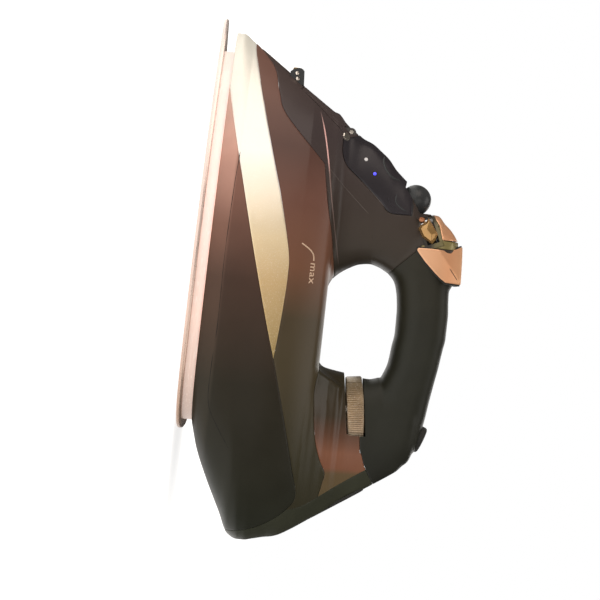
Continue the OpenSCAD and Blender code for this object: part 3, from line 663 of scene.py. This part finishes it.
def local_level(level, low, high, h=1.0, f=field):
    """Level mesh of one stretch of the housing, closed where the stretch ends."""
    vals = grid_values(f, low, high, h) - level
    for ax in range(3):
        for end in (0, -1):
            index = [slice(None)] * 3
            index[ax] = end
            vals[tuple(index)] = 1.0
    v, q = surface_net(vals, low, h)
    edge = np.zeros(len(v), bool)
    for ax in range(3):
        edge |= (v[:, ax] < low[ax] + 1.6 * h) | (v[:, ax] > high[ax] - 1.6 * h)
    moved = settle(v, f, level)
    return np.where(edge[:, None], v, moved), q


slot_room = make_object("cutter", *local_level(-0.5, (14.0, -24.0, 118.0), (60.0, 24.0, 160.0)))


def lever_room():
    """Slot of the steam lever, with a bridge left in the middle of its front end."""
    h, front = 5.8, 27.6
    room = block((8, -30, -h), (front, 30, h), LEVER_AT, LEVER_TILT)
    flanks = [block((front - 1, y0, -h), (40, y1, h), LEVER_AT, LEVER_TILT)
              for y0, y1 in ((14.2, 30), (-30, -14.2))]
    boolean(room, *[("UNION", f) for f in flanks])
    drop(*flanks)
    return room


def saddle_room():
    """Dip across the top of the housing, round the steam burst button."""
    c, s = math.cos(math.radians(BURST_TILT)), math.sin(math.radians(BURST_TILT))
    dip = [(-8, -2.8), (9.6, -1.6), (12.4, 1.8), (14, 20), (-8, 20)]
    return prism([(BURST_AT[0] + u * c + w * s, BURST_AT[2] - u * s + w * c) for u, w in dip], 30)


def cutters():
    return {
        "slot": lever_room(),
        "burst": cylinder(DOME_R + 0.4, -9, 15, BURST_AT, BURST_TILT),
        "spray": cylinder(1, -12, 12, SPRAY_AT, SPRAY_TILT, scale=(OVAL_A + 0.4, OVAL_B + 0.4)),
        "dial": cylinder(23.6, -DIAL_T / 2 - 0.8, DIAL_T / 2 + 0.8, DIAL_AT, DIAL_TILT, 160),
        "lid": prism(inset(lid_region, -0.3)),
        "swivel": cylinder(8.4, -3.4, 12, SWIVEL_AT, SWIVEL_TILT),
        "wing": prism(inset(wing_region, 0.2)),
        "deck": prism([[30.4, 130.7], [31.3, 131.3], [32.9, 138.0], [35.3, 142.3], [44, 140.6], [49,
                                                                                                 136.8],
                                                                                                 [56, 133],
                                                                                                 [62, 132],
                                                                                                 [62, 165],
                       [30.4, 165]]),
        "saddle": saddle_room(),
    }


CUT = cutters()


def reverse(p):
    return np.array(p)[::-1]


shoulder = curve([[-48, 79.4], [-60, 78.2], [-70, 78.8], [-80, 80], [-90, 82], [-100, 85.4], [-108, 89.3],
                  [-114, 88.6], [-120, 87.5], [-128, 86]])


GAP = 0.09
bt, bl, st, cl, cn, fl, hl, hlow = (curve(p) for p in (blade_top, blade_low, skirt_top, cover_low, cover_nose,
                                                       fascia_low, heel_line, handle_low))
N = 8
BASE = 8.7
low_cut = bl[:np.argmax(bl[:, 1] < BASE)]
regions = {
    "skirt": np.concatenate([reverse(bl), st, [[-160, 24], [-160, BASE], [112, BASE]]]),
    "blade": np.concatenate([bt, [[156, BASE], [112, BASE]], reverse(low_cut)]),
    "tank": np.concatenate([bt[:7 * N + 1], reverse(cn), reverse(cl)[1:], [[2, 80.6], [-5, 79.9], [-40,
                                                                                                   79.9]],
                            shoulder, [[-160, 86], [-160, 69]], reverse(st[:4 * N + 1])]),
    "cover": np.concatenate([cl, cn[1:], [[152, 18.6], [160, 90], [99, 92], [92.4, 87.6]], reverse(fl),
                             [[56, 124], [56, 160], [28, 160], [28, 129.5], [13, 114.5], [-8, 114.5],
                              [-5, 79.9], [2, 80.6]]]),
    "fascia": np.concatenate([fl, [[92.4, 87.6], [99, 92], [84, 124]]]),
    "grip": np.concatenate([[[28, 160], [28, 129.5], [13, 114.5], [-40, 114.5]], hlow, [[-120, 160]]]),
    "neck": np.concatenate([[[-40, 79.9], [-40, 92]], hlow[:3 * N + 1], [[-160, 113.4], [-160, 86]],
                            reverse(shoulder)]),
    "heel": np.concatenate([hlow[3 * N:], [[-165, 121], [-165, 24], [-147.5, 24]], reverse(st[4 * N:]),
                            reverse(hl)[1:]]),
    "deck": np.array([[35.8, 143.6], [44, 141.4], [49, 137.8], [56, 134.4], [58, 160], [36.6, 160]]),
    "band": np.array([[30.5, 131.0], [31.3, 131.6], [32.8, 138.2], [35.4, 142.5], [36, 160], [30.5, 160]]),
}


def panel(name, key, mat, cuts=(), replaces=(), body="housing", source=None, level=0.0, bevel=0.8,
          extra=()):
    cutter = prism(inset(regions[key], GAP))
    obj = (source or master).copy()
    obj.data = obj.data.copy()
    scene.collection.objects.link(obj)
    boolean(obj, ("INTERSECT", cutter), *less(*[CUT[c] for c in cuts]), *extra)
    soften(obj, regions[key], level=level, width=bevel)
    drop(cutter)
    return piece(obj, name, M[mat], body, replaces)


panel("skirt_panel", "skirt", "skirt", (), ("skirt",))
panel("blade_panel", "blade", "gold", (), ("trim_blade",))
heel_side = prism(inset(regions["heel"], 0.0))
panel("tank_panel", "tank", "tank", ("lid", "dial"), ("tank_shell",),
      extra=less(heel_side))
panel("cover_panel", "cover", "cover", ("slot", "burst", "lid", "deck", "saddle"), ("upper_cover",))
# The neck panel carries the painted salmon reflection of the neck colour stops.
panel("neck_panel", "neck", "rear", ("dial",), ("rear_housing",), extra=less(heel_side))
drop(heel_side)
panel("heel_panel", "heel", "heel", (), ("heel_cover",))
panel("grip_panel", "grip", "grip", ("dial", "slot", "swivel", "wing"), ("handle_grip",))
panel("deck_panel", "deck", "rose", ("slot",), ("deck_trim",))
panel("deck_band", "band", "band", ("slot",), ())

# control fascia stands a little proud of the cover
proud = 0.45
flow, fhigh = (42.0, -30.0, 72.0), (104.0, 30.0, 130.0)
fascia_shell = shell_object(local_level(-WALL, flow, fhigh), local_level(proud, flow, fhigh))
panel("fascia_panel", "fascia", "fascia", ("slot", "burst", "spray", "lid", "saddle"), ("control_fascia",),
      source=fascia_shell, level=proud, bevel=1.2)
drop(fascia_shell)

# filler lid, thinner than the shells
llow, lhigh = (84.0, -42.0, 44.0), (128.0, 42.0, 98.0)
regions["lid"] = np.array(lid_region)
lid_shell = shell_object(local_level(-1.7, llow, lhigh), local_level(0.0, llow, lhigh))
lid_pocket = block((HINGE_AT[0] - 3.2, -8.2, HINGE_AT[2] - 9), (HINGE_AT[0] + 3.2, 8.2, HINGE_AT[2] + 5))
panel("lid_panel", "lid", "cover", (), ("filler_lid",), body="lid", source=lid_shell,
      extra=less(lid_pocket))
drop(lid_shell, lid_pocket)

# floor and roof of the dial bay
for name, low, high in (("dial_bay_floor", -DIAL_T / 2 - 3, -DIAL_T / 2 - 0.82),
                        ("dial_bay_roof", DIAL_T / 2 + 0.82, DIAL_T / 2 + 3)):
    disc = cylinder(26, low, high, DIAL_AT, DIAL_TILT)
    boolean(disc, ("INTERSECT", inner_solid))
    piece(disc, name, M["liner"])

# ---- soleplate and casting edge
def plan(nose, tail, mid, hw, np_, tp, n=56):
    side = []
    for i in range(n, -1, -1):
        a = math.pi / 2 * i / n
        side.append((mid + (nose - mid) * math.sin(a), 0 if i == n else hw * math.cos(a) ** np_))
    for i in range(1, n + 1):
        a = math.pi / 2 * i / n
        side.append((mid - (mid - tail) * math.sin(a) ** tp, 0 if i == n else hw * math.cos(a) ** tp))
    return side + [(x, -y) for x, y in side[-2:0:-1]]


def sole_ring(inset_by, z):
    return [(x, y, z) for x, y in plan(154 - 1.6 * inset_by, -92 + inset_by, MID_X, 57 - inset_by, 1.6, 0.7)]


sole = make_object("sole", *stack([sole_ring(d, z) for d, z in (
    (1.6, 0.0), (0.7, 0.14), (0.2, 0.5), (0, 1.1), (0, 2.0), (0.25, 2.7), (0.7, 2.97), (1.2, 3.0))]))
holes = []
for row in range(2):
    for i in range(9):
        x = 128 - 17 * i - 8 * row
        s = min(1, (max(x, MID_X) - MID_X) / 199)
        y = max(4, (57 - 12 - 9 * row) * math.cos(math.asin(s)) ** 1.6)
        for side in (-1, 1):
            hole = make_object("cutter", *spun([(2.0, -1), (1.7, 0.0), (1.1, 0.7), (1.1, 5)], 24))
            hole.data.transform(Matrix.Translation((x, side * y, 0)))
            holes.append(hole)
boolean(sole, *less(*holes))
drop(*holes)
piece(sole, "sole_panel", M["sole"], replaces=("soleplate",), angle=28)


def band_ring(out, z):
    return [(x, y, z) for x, y in plan(134.6 - 1.4 * out, -86.5 + out, MID_X, 52.5 - out, 1.6, 0.7)]


band = make_object("band", *stack([band_ring(d, z) for d, z in (
    (0.5, 3.02), (0, 3.4), (0, 4.6), (0.3, 4.85), (0.3, 5.05), (0, 5.3), (0, 8.0), (0.5, 8.5))]))
joint_cut = block((-74.6, -80, 2), (-73.8, 80, 12))
inner_ring = plan(126, -80, MID_X, 46, 1.6, 0.7)
core = make_object("cutter", *stack([[(x, y, z) for x, y in inner_ring] for z in (2, 12)]))
boolean(band, *less(core, joint_cut))
drop(core, joint_cut)
# The casting edge carries the painted light and glow of the cast aluminium.
piece(band, "casting_edge", M["aluminium"], angle=28)


# ---- wing collar
WING_HALF, WING_TOP = 18.6, 157.2
wing_points = [(29.6, WING_HALF, 142.4), (10.6, WING_HALF, 157.9), (31, 9.5, WING_TOP)]
a, b, c = (np.array(p, float) for p in wing_points)
facet_n = np.cross(b - a, c - a)
facet_n /= np.linalg.norm(facet_n)
if facet_n[2] < 0:
    facet_n = -facet_n


def wing_solid(x, y, z):
    y = np.abs(y)
    side = (y - WING_HALF + 0.0012 * (z - 140) ** 2) + 0 * x
    facet = (x - a[0]) * facet_n[0] + (y - a[1]) * facet_n[1] + (z - a[2]) * facet_n[2]
    top = z - WING_TOP + 0.0016 * (x - 16) ** 2 + 0 * y
    return smax(smax(side, facet, 0.5), top, 2.0)


wlow, whigh = (6.0, -22.0, 124.0), (38.0, 22.0, 162.0)
wv, wq = local_level(0.0, wlow, whigh, 0.5, wing_solid)
wing = make_object("wing", wv, wq)
core_v, core_q = local_level(0.12, (2.0, -24.0, 118.0), (44.0, 24.0, 162.0), 1.0)
core = make_object("cutter", core_v, core_q)
wing_cut = prism(inset(wing_region, 0.1))
boolean(wing, ("INTERSECT", wing_cut), *less(core))
soften(wing, wing_region, f=wing_solid, width=0.9, drop=0.3)
seat = make_object("seat", *local_level(-0.55, wlow, whigh, 0.5, wing_solid))
seat_cut = prism(inset(wing_region, -0.8))
wing_clear = prism(inset(wing_region, 0.0))
sweep = block((7.0, -30, -7.2), (34, 30, 4.6), LEVER_AT, LEVER_TILT)
boolean(seat, ("INTERSECT", seat_cut), *less(core, wing_clear, sweep))
drop(sweep)
piece(seat, "wing_seat", M["rubber"], angle=40)
drop(core, wing_cut, seat_cut, wing_clear)
piece(wing, "wing_panel", M["rose"], replaces=("wing_trim",))

# ---- lever grips
GEM_U, GEM_TIP = 19.0, 20.9
gem = np.array([[-8, 0], [-6.4, 2.7], [-3.2, 5.1], [0, 4.3], [7.4, 2.6], [5.4, 0], [4.7, -3.4], [3.2, -5.1],
                [-2.4, -4.2]], float)[::-1]
verts, faces = [], []
for side in (-1, 1):
    rings = [(0.9, 3.0), (1.0, 3.6), (1.0, 4.6), (0.78, 5.9)]
    n = len(gem)
    o = len(verts)
    centre = np.array([-0.6, 0.2])
    for s, d in rings:
        for u, w in centre + (gem - centre) * s:
            verts.append((GEM_U + u, side * (14.4 + (d - 3.0) * 2.0), w - 1.2))
    for k in range(len(rings) - 1):
        for i in range(n):
            j = (i + 1) % n
            q = (o + k * n + i, o + k * n + j, o + (k + 1) * n + j, o + (k + 1) * n + i)
            faces.append(q if side > 0 else q[::-1])
    ridge = len(verts)
    verts += [(GEM_U - 2.6, side * GEM_TIP, -0.2), (GEM_U + 1.6, side * GEM_TIP, -1.8)]
    top = [o + (len(rings) - 1) * n + i for i in range(n)]
    for i in range(n):
        j = (i + 1) % n
        mid_u = (verts[top[i]][0] + verts[top[j]][0]) / 2
        apex = ridge if mid_u < GEM_U else ridge + 1
        t = (top[i], top[j], apex)
        faces.append(t if side > 0 else t[::-1])
        mid_next = (verts[top[j]][0] + verts[top[(j + 1) % n]][0]) / 2
        if (mid_u < GEM_U) != (mid_next < GEM_U):
            t = (top[j], ridge + 1, ridge) if mid_u < GEM_U else (top[j], ridge, ridge + 1)
            faces.append(t if side > 0 else t[::-1])
    bottom = tuple(o + i for i in range(n))
    faces.append(bottom[::-1] if side > 0 else bottom)
gems = placed("gems", (verts, faces), LEVER_AT, LEVER_TILT)
face_out(gems)
piece(gems, "lever_gems", M["gem"], "lever", ("lever_grips",), angle=12, bevel=0.35)

# ---- buttons
def spring_groove(obj, at, tilt, top):
    """Ring-shaped room under a button, which its spring enters when the button is pressed."""
    groove, middle = cylinder(5.95, -9, top, at, tilt), cylinder(4.45, -10, top + 1, at, tilt)
    boolean(groove, *less(middle))
    boolean(obj, *less(groove))
    drop(groove, middle)


oval = [(0.9, -6), (0.97, -5.6), (1, -5), (1, -0.3), (0.97, 0.15), (0.9, 0.42), (0.78, 0.5), (0.6, 0.36),
        (0.3, 0.22), (0.02, 0.2)]
spray = placed("spray", spun(oval, 96, (OVAL_A, OVAL_B)), SPRAY_AT, SPRAY_TILT)
spring_groove(spray, SPRAY_AT, SPRAY_TILT, -3.0)
piece(spray, "spray_key_top", M["button"], "spray_key", ("spray_button",), angle=40)
profile = [(DOME_R * 0.8, -5.8), (DOME_R * 0.84, -5), (DOME_R, -4.4), (DOME_R, 0)]
for i in range(1, 13):
    t = math.pi / 2 * i / 12
    r = DOME_R * math.cos(t)
    z = DOME_R * math.sin(t)
    if i == 8:
        profile += [(r + 0.35, z - 0.15), (r + 0.1, z - 0.25)]
    profile.append((max(r, 0.02), z))
burst = placed("burst", spun(profile, 96), BURST_AT, BURST_TILT)
spring_groove(burst, BURST_AT, BURST_TILT, -2.0)
piece(burst, "burst_key_dome", M["button"], "burst_key", ("burst_button",), angle=40)

saddle = make_object("saddle", *local_level(-0.05, (36.0, -24.0, 104.0), (84.0, 24.0, 150.0)))
slab = block((-9.2, -30, -9), (15.6, 30, -3.7), BURST_AT, BURST_TILT)
boolean(saddle, ("INTERSECT", slab), *less(CUT["burst"], CUT["spray"], slot_room))
drop(slab)
piece(saddle, "burst_saddle", M["button"], bevel=0.4, angle=40)

# ---- walls inside the lever slot
walls = [block((x0, y0, z0), (x1, y1, z1), LEVER_AT, LEVER_TILT) for x0, x1, y0, y1, z0, z1 in (
    (8.2, 40, -16.4, 16.4, 3.7, 6.4), (8.2, 40, -16.4, 16.4, -6.4, -3.7), (8.2, 11, 8.2, 16.4, -3.8, 3.8),
    (8.2, 11, -16.4, -8.2, -3.8, 3.8), (26.2, 32, -9, 9, -5.7, 5.7))]
liner = walls[0]
boolean(liner, *[("UNION", w) for w in walls[1:]], ("INTERSECT", slot_room))
drop(*walls[1:])
piece(liner, "slot_walls", M["pocket"], bevel=0.25)

# ---- spray nozzle
nozzle_side = [[117.4, 44], [119, 51.9], [127.4, 51.3], [128.8, 49.6], [129, 47.6], [128, 44.8], [126.4, 43]]
nozzle = prism(nozzle_side, 6)
well = cylinder(3.3, 0, 9, JET_AT, JET_TILT, 48)
boolean(nozzle, *less(well))
drop(well)
piece(nozzle, "nozzle_body", M["button"], replaces=("spray_nozzle",), angle=30, bevel=0.5,
      segments=3)
jet = [(3.1, 0), (3.1, 2.9), (2.8, 3.3), (2.2, 3.4), (1.6, 2.9), (0.9, 2.6), (0.5, 2.2), (0.5, 1.2)]
tip = placed("tip", spun(jet, 24), JET_AT, JET_TILT)
piece(tip, "nozzle_jet", M["brass"], replaces=("nozzle_tip",), angle=14)


def surface_y(x, z, level=0.0, f=field):
    """Half width of the housing's outer face at x, z."""
    y = np.linspace(0, 62, 1241)
    depth = f(np.full_like(y, x), y, np.full_like(y, z)) - level
    crossing = np.where((depth[:-1] < 0) & (depth[1:] >= 0))[0]
    return float(y[crossing[-1]]) if len(crossing) else 0.0


def studded(name, places, r, height, mat, sides, level=0.0, y_at=None, body="housing"):
    """Small faceted studs set in both flanks."""
    verts, faces = [], []
    for x, z in places:
        y = y_at if y_at is not None else surface_y(x, z, level)
        n = np.array([0.0, 1.0, 0.0]) if y_at is not None else gradient(np.array([[x, y, z]]))[0]
        n /= np.linalg.norm(n)
        for side in (-1, 1):
            centre = np.array([x, side * y, z])
            axis = np.array([n[0], side * n[1], n[2]])
            u = np.cross(axis, [1.0, 0, 0])
            u /= np.linalg.norm(u)
            w = np.cross(axis, u)
            stud = spun([(r, -1.2), (r, height * 0.4), (r * 0.82, height * 0.8), (r * 0.45, height)], sides)
            add_solid(verts, faces, ([centre + u * p + w * q + axis * h for p, q, h in stud[0]], stud[1]))
    obj = make_object(name, verts, faces)
    face_out(obj)
    return piece(obj, name, M[mat], body, angle=14)


studded("hinge_caps", [(90.6, 80.4)], 2.9, 1.0, "chrome", 7)
studded("nozzle_studs", [(122.4, 47.8), (125.6, 47.2)], 1.3, 0.5, "chrome", 6, y_at=6.0)
studded("lever_bosses", [(46.7, 130.3)], 1.9, 0.5, "copper", 20, body="lever")
# Small white pip whose colour is a painted highlight.
studded("pip_painted_highlight", [(78.5, 93.5)], 1.1, 0.4, "white_dot", 20, proud)
lens = studded("status_lens", [(70.5, 99.5)], 0.95, 0.3, "lens", 20, proud)
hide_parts("indicator_lens")

# ---- dial
outline = []
steps = DIAL_RIBS * 6
for i in range(steps):
    t = 360 * i / steps
    off = min(t, 360 - t) < SMOOTH_ARC / 2
    outline.append((math.radians(t), 0 if off else (0, 0, 0.3, 0.9, 0.9, 0.3)[i % 6]))


def dial_ring(cut, z):
    radii = [(t, DIAL_R - max(d, cut)) for t, d in outline]
    return [(r * math.cos(t), r * math.sin(t), z) for t, r in radii]


h = DIAL_T / 2
dial = make_object("dial", *stack([dial_ring(cut, z) for cut, z in (
    (3.6, -h), (0.7, -h), (0.12, -h + 0.5), (0, -h + 0.9), (0, h - 0.9), (0.12, h - 0.5), (0.7, h), (3.6,
                                                                                                     h))]))
hollow = cylinder(17.4, -7, h - 2)
boolean(dial, *less(hollow))
drop(hollow)
dial.data.transform(tilted(DIAL_AT, DIAL_TILT))
piece(dial, "dial_wheel", M["dial"], "dial", ("temperature_dial",), angle=30)

# ---- cord inlet and heel pads
core = cylinder(CORD_R, -14, 9, n=72)
ball = [(8.7, -12), (9, -11.6), (9, -9.3), (8.7, -9), (6.5, -9), (6.5, -3.3), (7.7, -3), (8, -2.7), (8, 3.4),
        (7.6, 4.2), (6.8, 4.6)]
inlet = make_object("inlet", *spun(ball, 72))
boolean(inlet, *less(core))
drop(core)
inlet.data.transform(tilted(SWIVEL_AT, SWIVEL_TILT))
piece(inlet, "inlet_ball", M["rubber"], "swivel", ("cord_swivel",), angle=30)
verts, faces = [], []
for side in (-1, 1):
    ring = []
    for i in range(48):
        t = 2 * math.pi * (i + 0.5) / 48
        c, s = math.cos(t), math.sin(t)
        ring.append((math.copysign(abs(c) ** 0.5, c), math.copysign(abs(s) ** 0.5, s)))
    levels = ((1, 1, -1.5), (1, 1, 0.0), (0.99, 0.95, 0.22), (0.97, 0.85, 0.3))
    add_solid(verts, faces, stack([[(20 * k * p, side * 11 + 4 * m * q, z) for p, q in ring]
                                   for k, m, z in levels]))
pads = placed("pads", (verts, faces), HEEL_AT, HEEL_TILT)
piece(pads, "heel_pad_pair", M["rubber"], replaces=("heel_pads",), angle=30)


# ---- fine lines on the surface
def bead(name, path, r, mat, level=0.0, sink=0.35, body="housing", n=8, taper=True, f=field):
    """A slim raised line along a side-view path, on both flanks."""
    path = curve(path)
    points = np.array([[x, min(surface_y(x, z, level, f), 59.7), z] for x, z in path])
    nrm = gradient(points, f)
    nrm /= np.linalg.norm(nrm, axis=1, keepdims=True)
    last = len(points) - 1
    rings = []
    for i, (p, m) in enumerate(zip(points, nrm)):
        t = points[min(i + 1, last)] - points[max(i - 1, 0)]
        t /= np.linalg.norm(t)
        across = np.cross(t, m)
        rr = r * (min(1, 0.25 + min(i, last - i) / last * 4) if taper else 1)
        angles = [2 * math.pi * j / n for j in range(n)]
        rings.append([p - m * sink * r + (across * math.cos(a) + m * math.sin(a)) * rr for a in angles])
    verts, faces = [], []
    for side in (1, -1):
        add_solid(verts, faces, stack([[(q[0], side * q[1], q[2]) for q in ring] for ring in rings]))
    obj = make_object(name, verts, faces)
    face_out(obj)
    return piece(obj, name, M[mat], body, angle=60)


# The ridge bead's pink stretch is a painted highlight.
bead("cover_ridge", [[106, 62.8], [92, 67.2], [74, 71.4], [50, 76], [25, 81.6], [12, 84.6]], 0.55, "ridge")
bead("cover_crease", [[72, 69.8], [60, 83], [45, 100]], 0.28, "line")
# The fascia edge bead's lighter brown is a painted highlight.
bead("fascia_edge", [[70, 87.4], [60, 98.6], [50.6, 108.8], [48.8, 114], [48.8, 119]], 0.35, "line")
bead("lid_crown", [[115.6, 52], [108, 63], [100, 73.4], [94.4, 80]], 0.5, "cover", body="lid")
CREASE = 0.28
bead("skirt_crease", [[73, 20], [50, 18.9], [12, 18.3], [-26, 18.8], [-52, 17.9], [-72, 18.4], [-84, 24],
                      [-97, 32.6]], CREASE, "liner", sink=0.75, taper=False)
bead("wing_crease", [[20.6, 148.7], [12.2, 155.4]], CREASE, "liner", sink=0.6, f=wing_solid)
bead("button_collar", [[82.2, 104.6], [78, 104.2], [73.4, 106.4], [69.6, 110.4], [68.4, 115.4]], 0.8,
     "button",
     proud)
bead("burst_collar", [[60.6, 114], [55.6, 113.6], [52, 117], [50.2, 121.4]], 0.5, "button",
     proud)
bead("burst_collar_outer", [[58.4, 108.6], [53.6, 110.6], [50.6, 114.4]], 0.4, "fascia",
     proud)


def on_surface(obj, lift):
    """Lays a flat mesh, drawn in x, z at y = 0, on the +Y flank."""
    v = coords(obj.data)
    for p in v:
        p[1] += surface_y(p[0], p[2]) + lift
    obj.data.vertices.foreach_set("co", v.ravel())
    obj.data.update()


def fill_mark():
    text = bpy.data.curves.new("max_text", "FONT")
    text.body = "max"
    text.size = 5.4
    text.space_character = 1.1
    text.offset = 0.05
    obj = bpy.data.objects.new("max_text", text)
    scene.collection.objects.link(obj)
    graph = bpy.context.evaluated_depsgraph_get()
    mesh = bpy.data.meshes.new_from_object(obj.evaluated_get(graph))
    bpy.data.objects.remove(obj)
    bpy.data.curves.remove(text)
    v = coords(mesh)
    v -= v.min(0)
    width = v[:, 0].max()
    verts = [(13.2 - x * 12 / width, 0, 67.6 + y) for x, y, _ in v]
    faces = [tuple(p.vertices) for p in mesh.polygons]
    bpy.data.meshes.remove(mesh)
    line = curve([[14.6, 69.2], [17, 69], [19.2, 68], [21.4, 65.6], [24, 61.4]], 6)
    for p, q in zip(line, line[1:]):
        d = (q - p) / np.linalg.norm(q - p)
        s = np.array([-d[1], d[0]]) * 0.38
        o = len(verts)
        for c in (p + s, q + s, q - s, p - s):
            verts.append((c[0], 0, c[1]))
        faces.append((o, o + 1, o + 2, o + 3))
    return verts, faces


verts, faces = fill_mark()
one = make_object("mark", verts, faces)
bm = bmesh.new()
bm.from_mesh(one.data)
bmesh.ops.triangulate(bm, faces=bm.faces)
bmesh.ops.subdivide_edges(bm, edges=[e for e in bm.edges if e.calc_length() > 1.5], cuts=2,
                          use_grid_fill=True)
bm.to_mesh(one.data)
bm.free()
on_surface(one, 0.07)
one.modifiers.new("thick", "SOLIDIFY").thickness = 0.0001
piece(one, "fill_mark", M["mark"], angle=30)

drop(master, inner_solid, slot_room, *CUT.values())

# ---- CAD nodes that stay as they are
KEEP = {
    # The heater casting also carries the painted light and glow of the cast aluminium.
    "aluminium": "heater_casting",
    "element_steel": "heating_element",
    "ceramic_cream": "element_terminals thermostat terminal_block",
    "silicone_red": "chamber_gasket lid_seal",
    "chrome": "chamber_cover valve_rod sole_screws lid_hinge_pin spray_spring burst_spring lever_pin "
              "thermostat_spindle heel_screws",
    "white_sleeve": "thermal_fuse",
    "brass": "valve_seat",
    "tank_inner": "tank_base",
    "cover_inner": "filler_funnel lid_barrel lid_bracket lever_post swivel_retainer",
    "pump_white": "spray_plunger spray_pump burst_plunger burst_pump",
    "hose_clear": "spray_hose burst_hose",
    "button": "steam_lever",
    "board_green": "indicator_board",
    "dial": "dial_cap",
    "wire_blue": "supply_wires",
    "wire_red": "heater_wires",
}
for finish, nodes in KEEP.items():
    for node in nodes.split():
        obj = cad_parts[node]
        obj.data.materials.clear()
        obj.data.materials.append(M[finish])

# ---- floor, light and camera
FAR = 4000
floor = make_object("floor", [(-FAR, -FAR, 0), (FAR, -FAR, 0), (FAR, FAR, 0), (-FAR, FAR, 0)], [(0, 1, 2, 3)])
floor.data.transform(Matrix.Scale(MM, 4))
floor.data.materials.append(M["floor"])

world = bpy.data.worlds.new("studio")
world.use_nodes = True
tree = world.node_tree
rays = tree.nodes.new("ShaderNodeLightPath").outputs


def sky(node, colour, strength):
    node.inputs["Color"].default_value = (*colour, 1)
    node.inputs["Strength"].default_value = strength
    return node.outputs[0]


def choose(ray, other, chosen):
    """Shows one shader to a kind of ray and another to the rest."""
    mix = tree.nodes.new("ShaderNodeMixShader")
    for source, place in zip((rays[ray], other, chosen), mix.inputs):
        tree.links.new(source, place)
    return mix.outputs[0]


dim = sky(tree.nodes["Background"], (1.0, 0.95, 0.9), 0.1)
soft = sky(tree.nodes.new("ShaderNodeBackground"), (1.0, 0.97, 0.94), 0.75)
white = sky(tree.nodes.new("ShaderNodeBackground"), (1.0, 1.0, 1.0), 1.0)
seen = choose("Is Camera Ray", choose("Is Glossy Ray", soft, dim), white)
tree.links.new(seen, tree.nodes["World Output"].inputs["Surface"])
scene.world = world


def light(name, at, target, size, power, colour):
    data = bpy.data.lights.new(name, "AREA")
    data.energy, data.color = power, colour
    data.shape = "RECTANGLE"
    data.size, data.size_y = size
    obj = bpy.data.objects.new(name, data)
    obj.location = at
    obj.rotation_euler = (Vector(target) - Vector(at)).to_track_quat("-Z", "Y").to_euler()
    scene.collection.objects.link(obj)


light("key", (1.3, 0.9, 0.3), (0.05, 0, 0.04), (1.2, 1.2), 9, (1.0, 0.87, 0.78))
light("top", (0.1, 0.1, 1.7), (0, 0, 0.0), (1.2, 0.8), 5, (1.0, 0.97, 0.94))
light("front", (-0.1, 1.9, 0.9), (0, 0, 0.08), (1.0, 1.0), 3.6, (1.0, 0.95, 0.9))
light("back", (-0.2, -1.3, 0.8), (0, 0, 0.08), (0.9, 0.6), 3.5, (1.0, 0.97, 0.93))

camera_data = bpy.data.cameras.new("camera")
camera = bpy.data.objects.new("camera", camera_data)
scene.collection.objects.link(camera)
DISTANCE, VIEW_WIDTH, SENSOR = 1.1, 0.36, 36
camera_data.sensor_width = SENSOR
camera_data.lens = SENSOR * DISTANCE / VIEW_WIDTH
camera_data.clip_start = 0.01
LEAN_X, LEAN_Z = 0.1113, 0.9938
right = Vector((LEAN_X, 0, LEAN_Z)).normalized()
up = Vector((LEAN_Z, 0, -LEAN_X)).normalized()
m = Matrix((right, up, right.cross(up))).transposed()
camera.matrix_world = Matrix.Translation((-0.0087, DISTANCE, 0.0638)) @ m.to_4x4()
scene.camera = camera
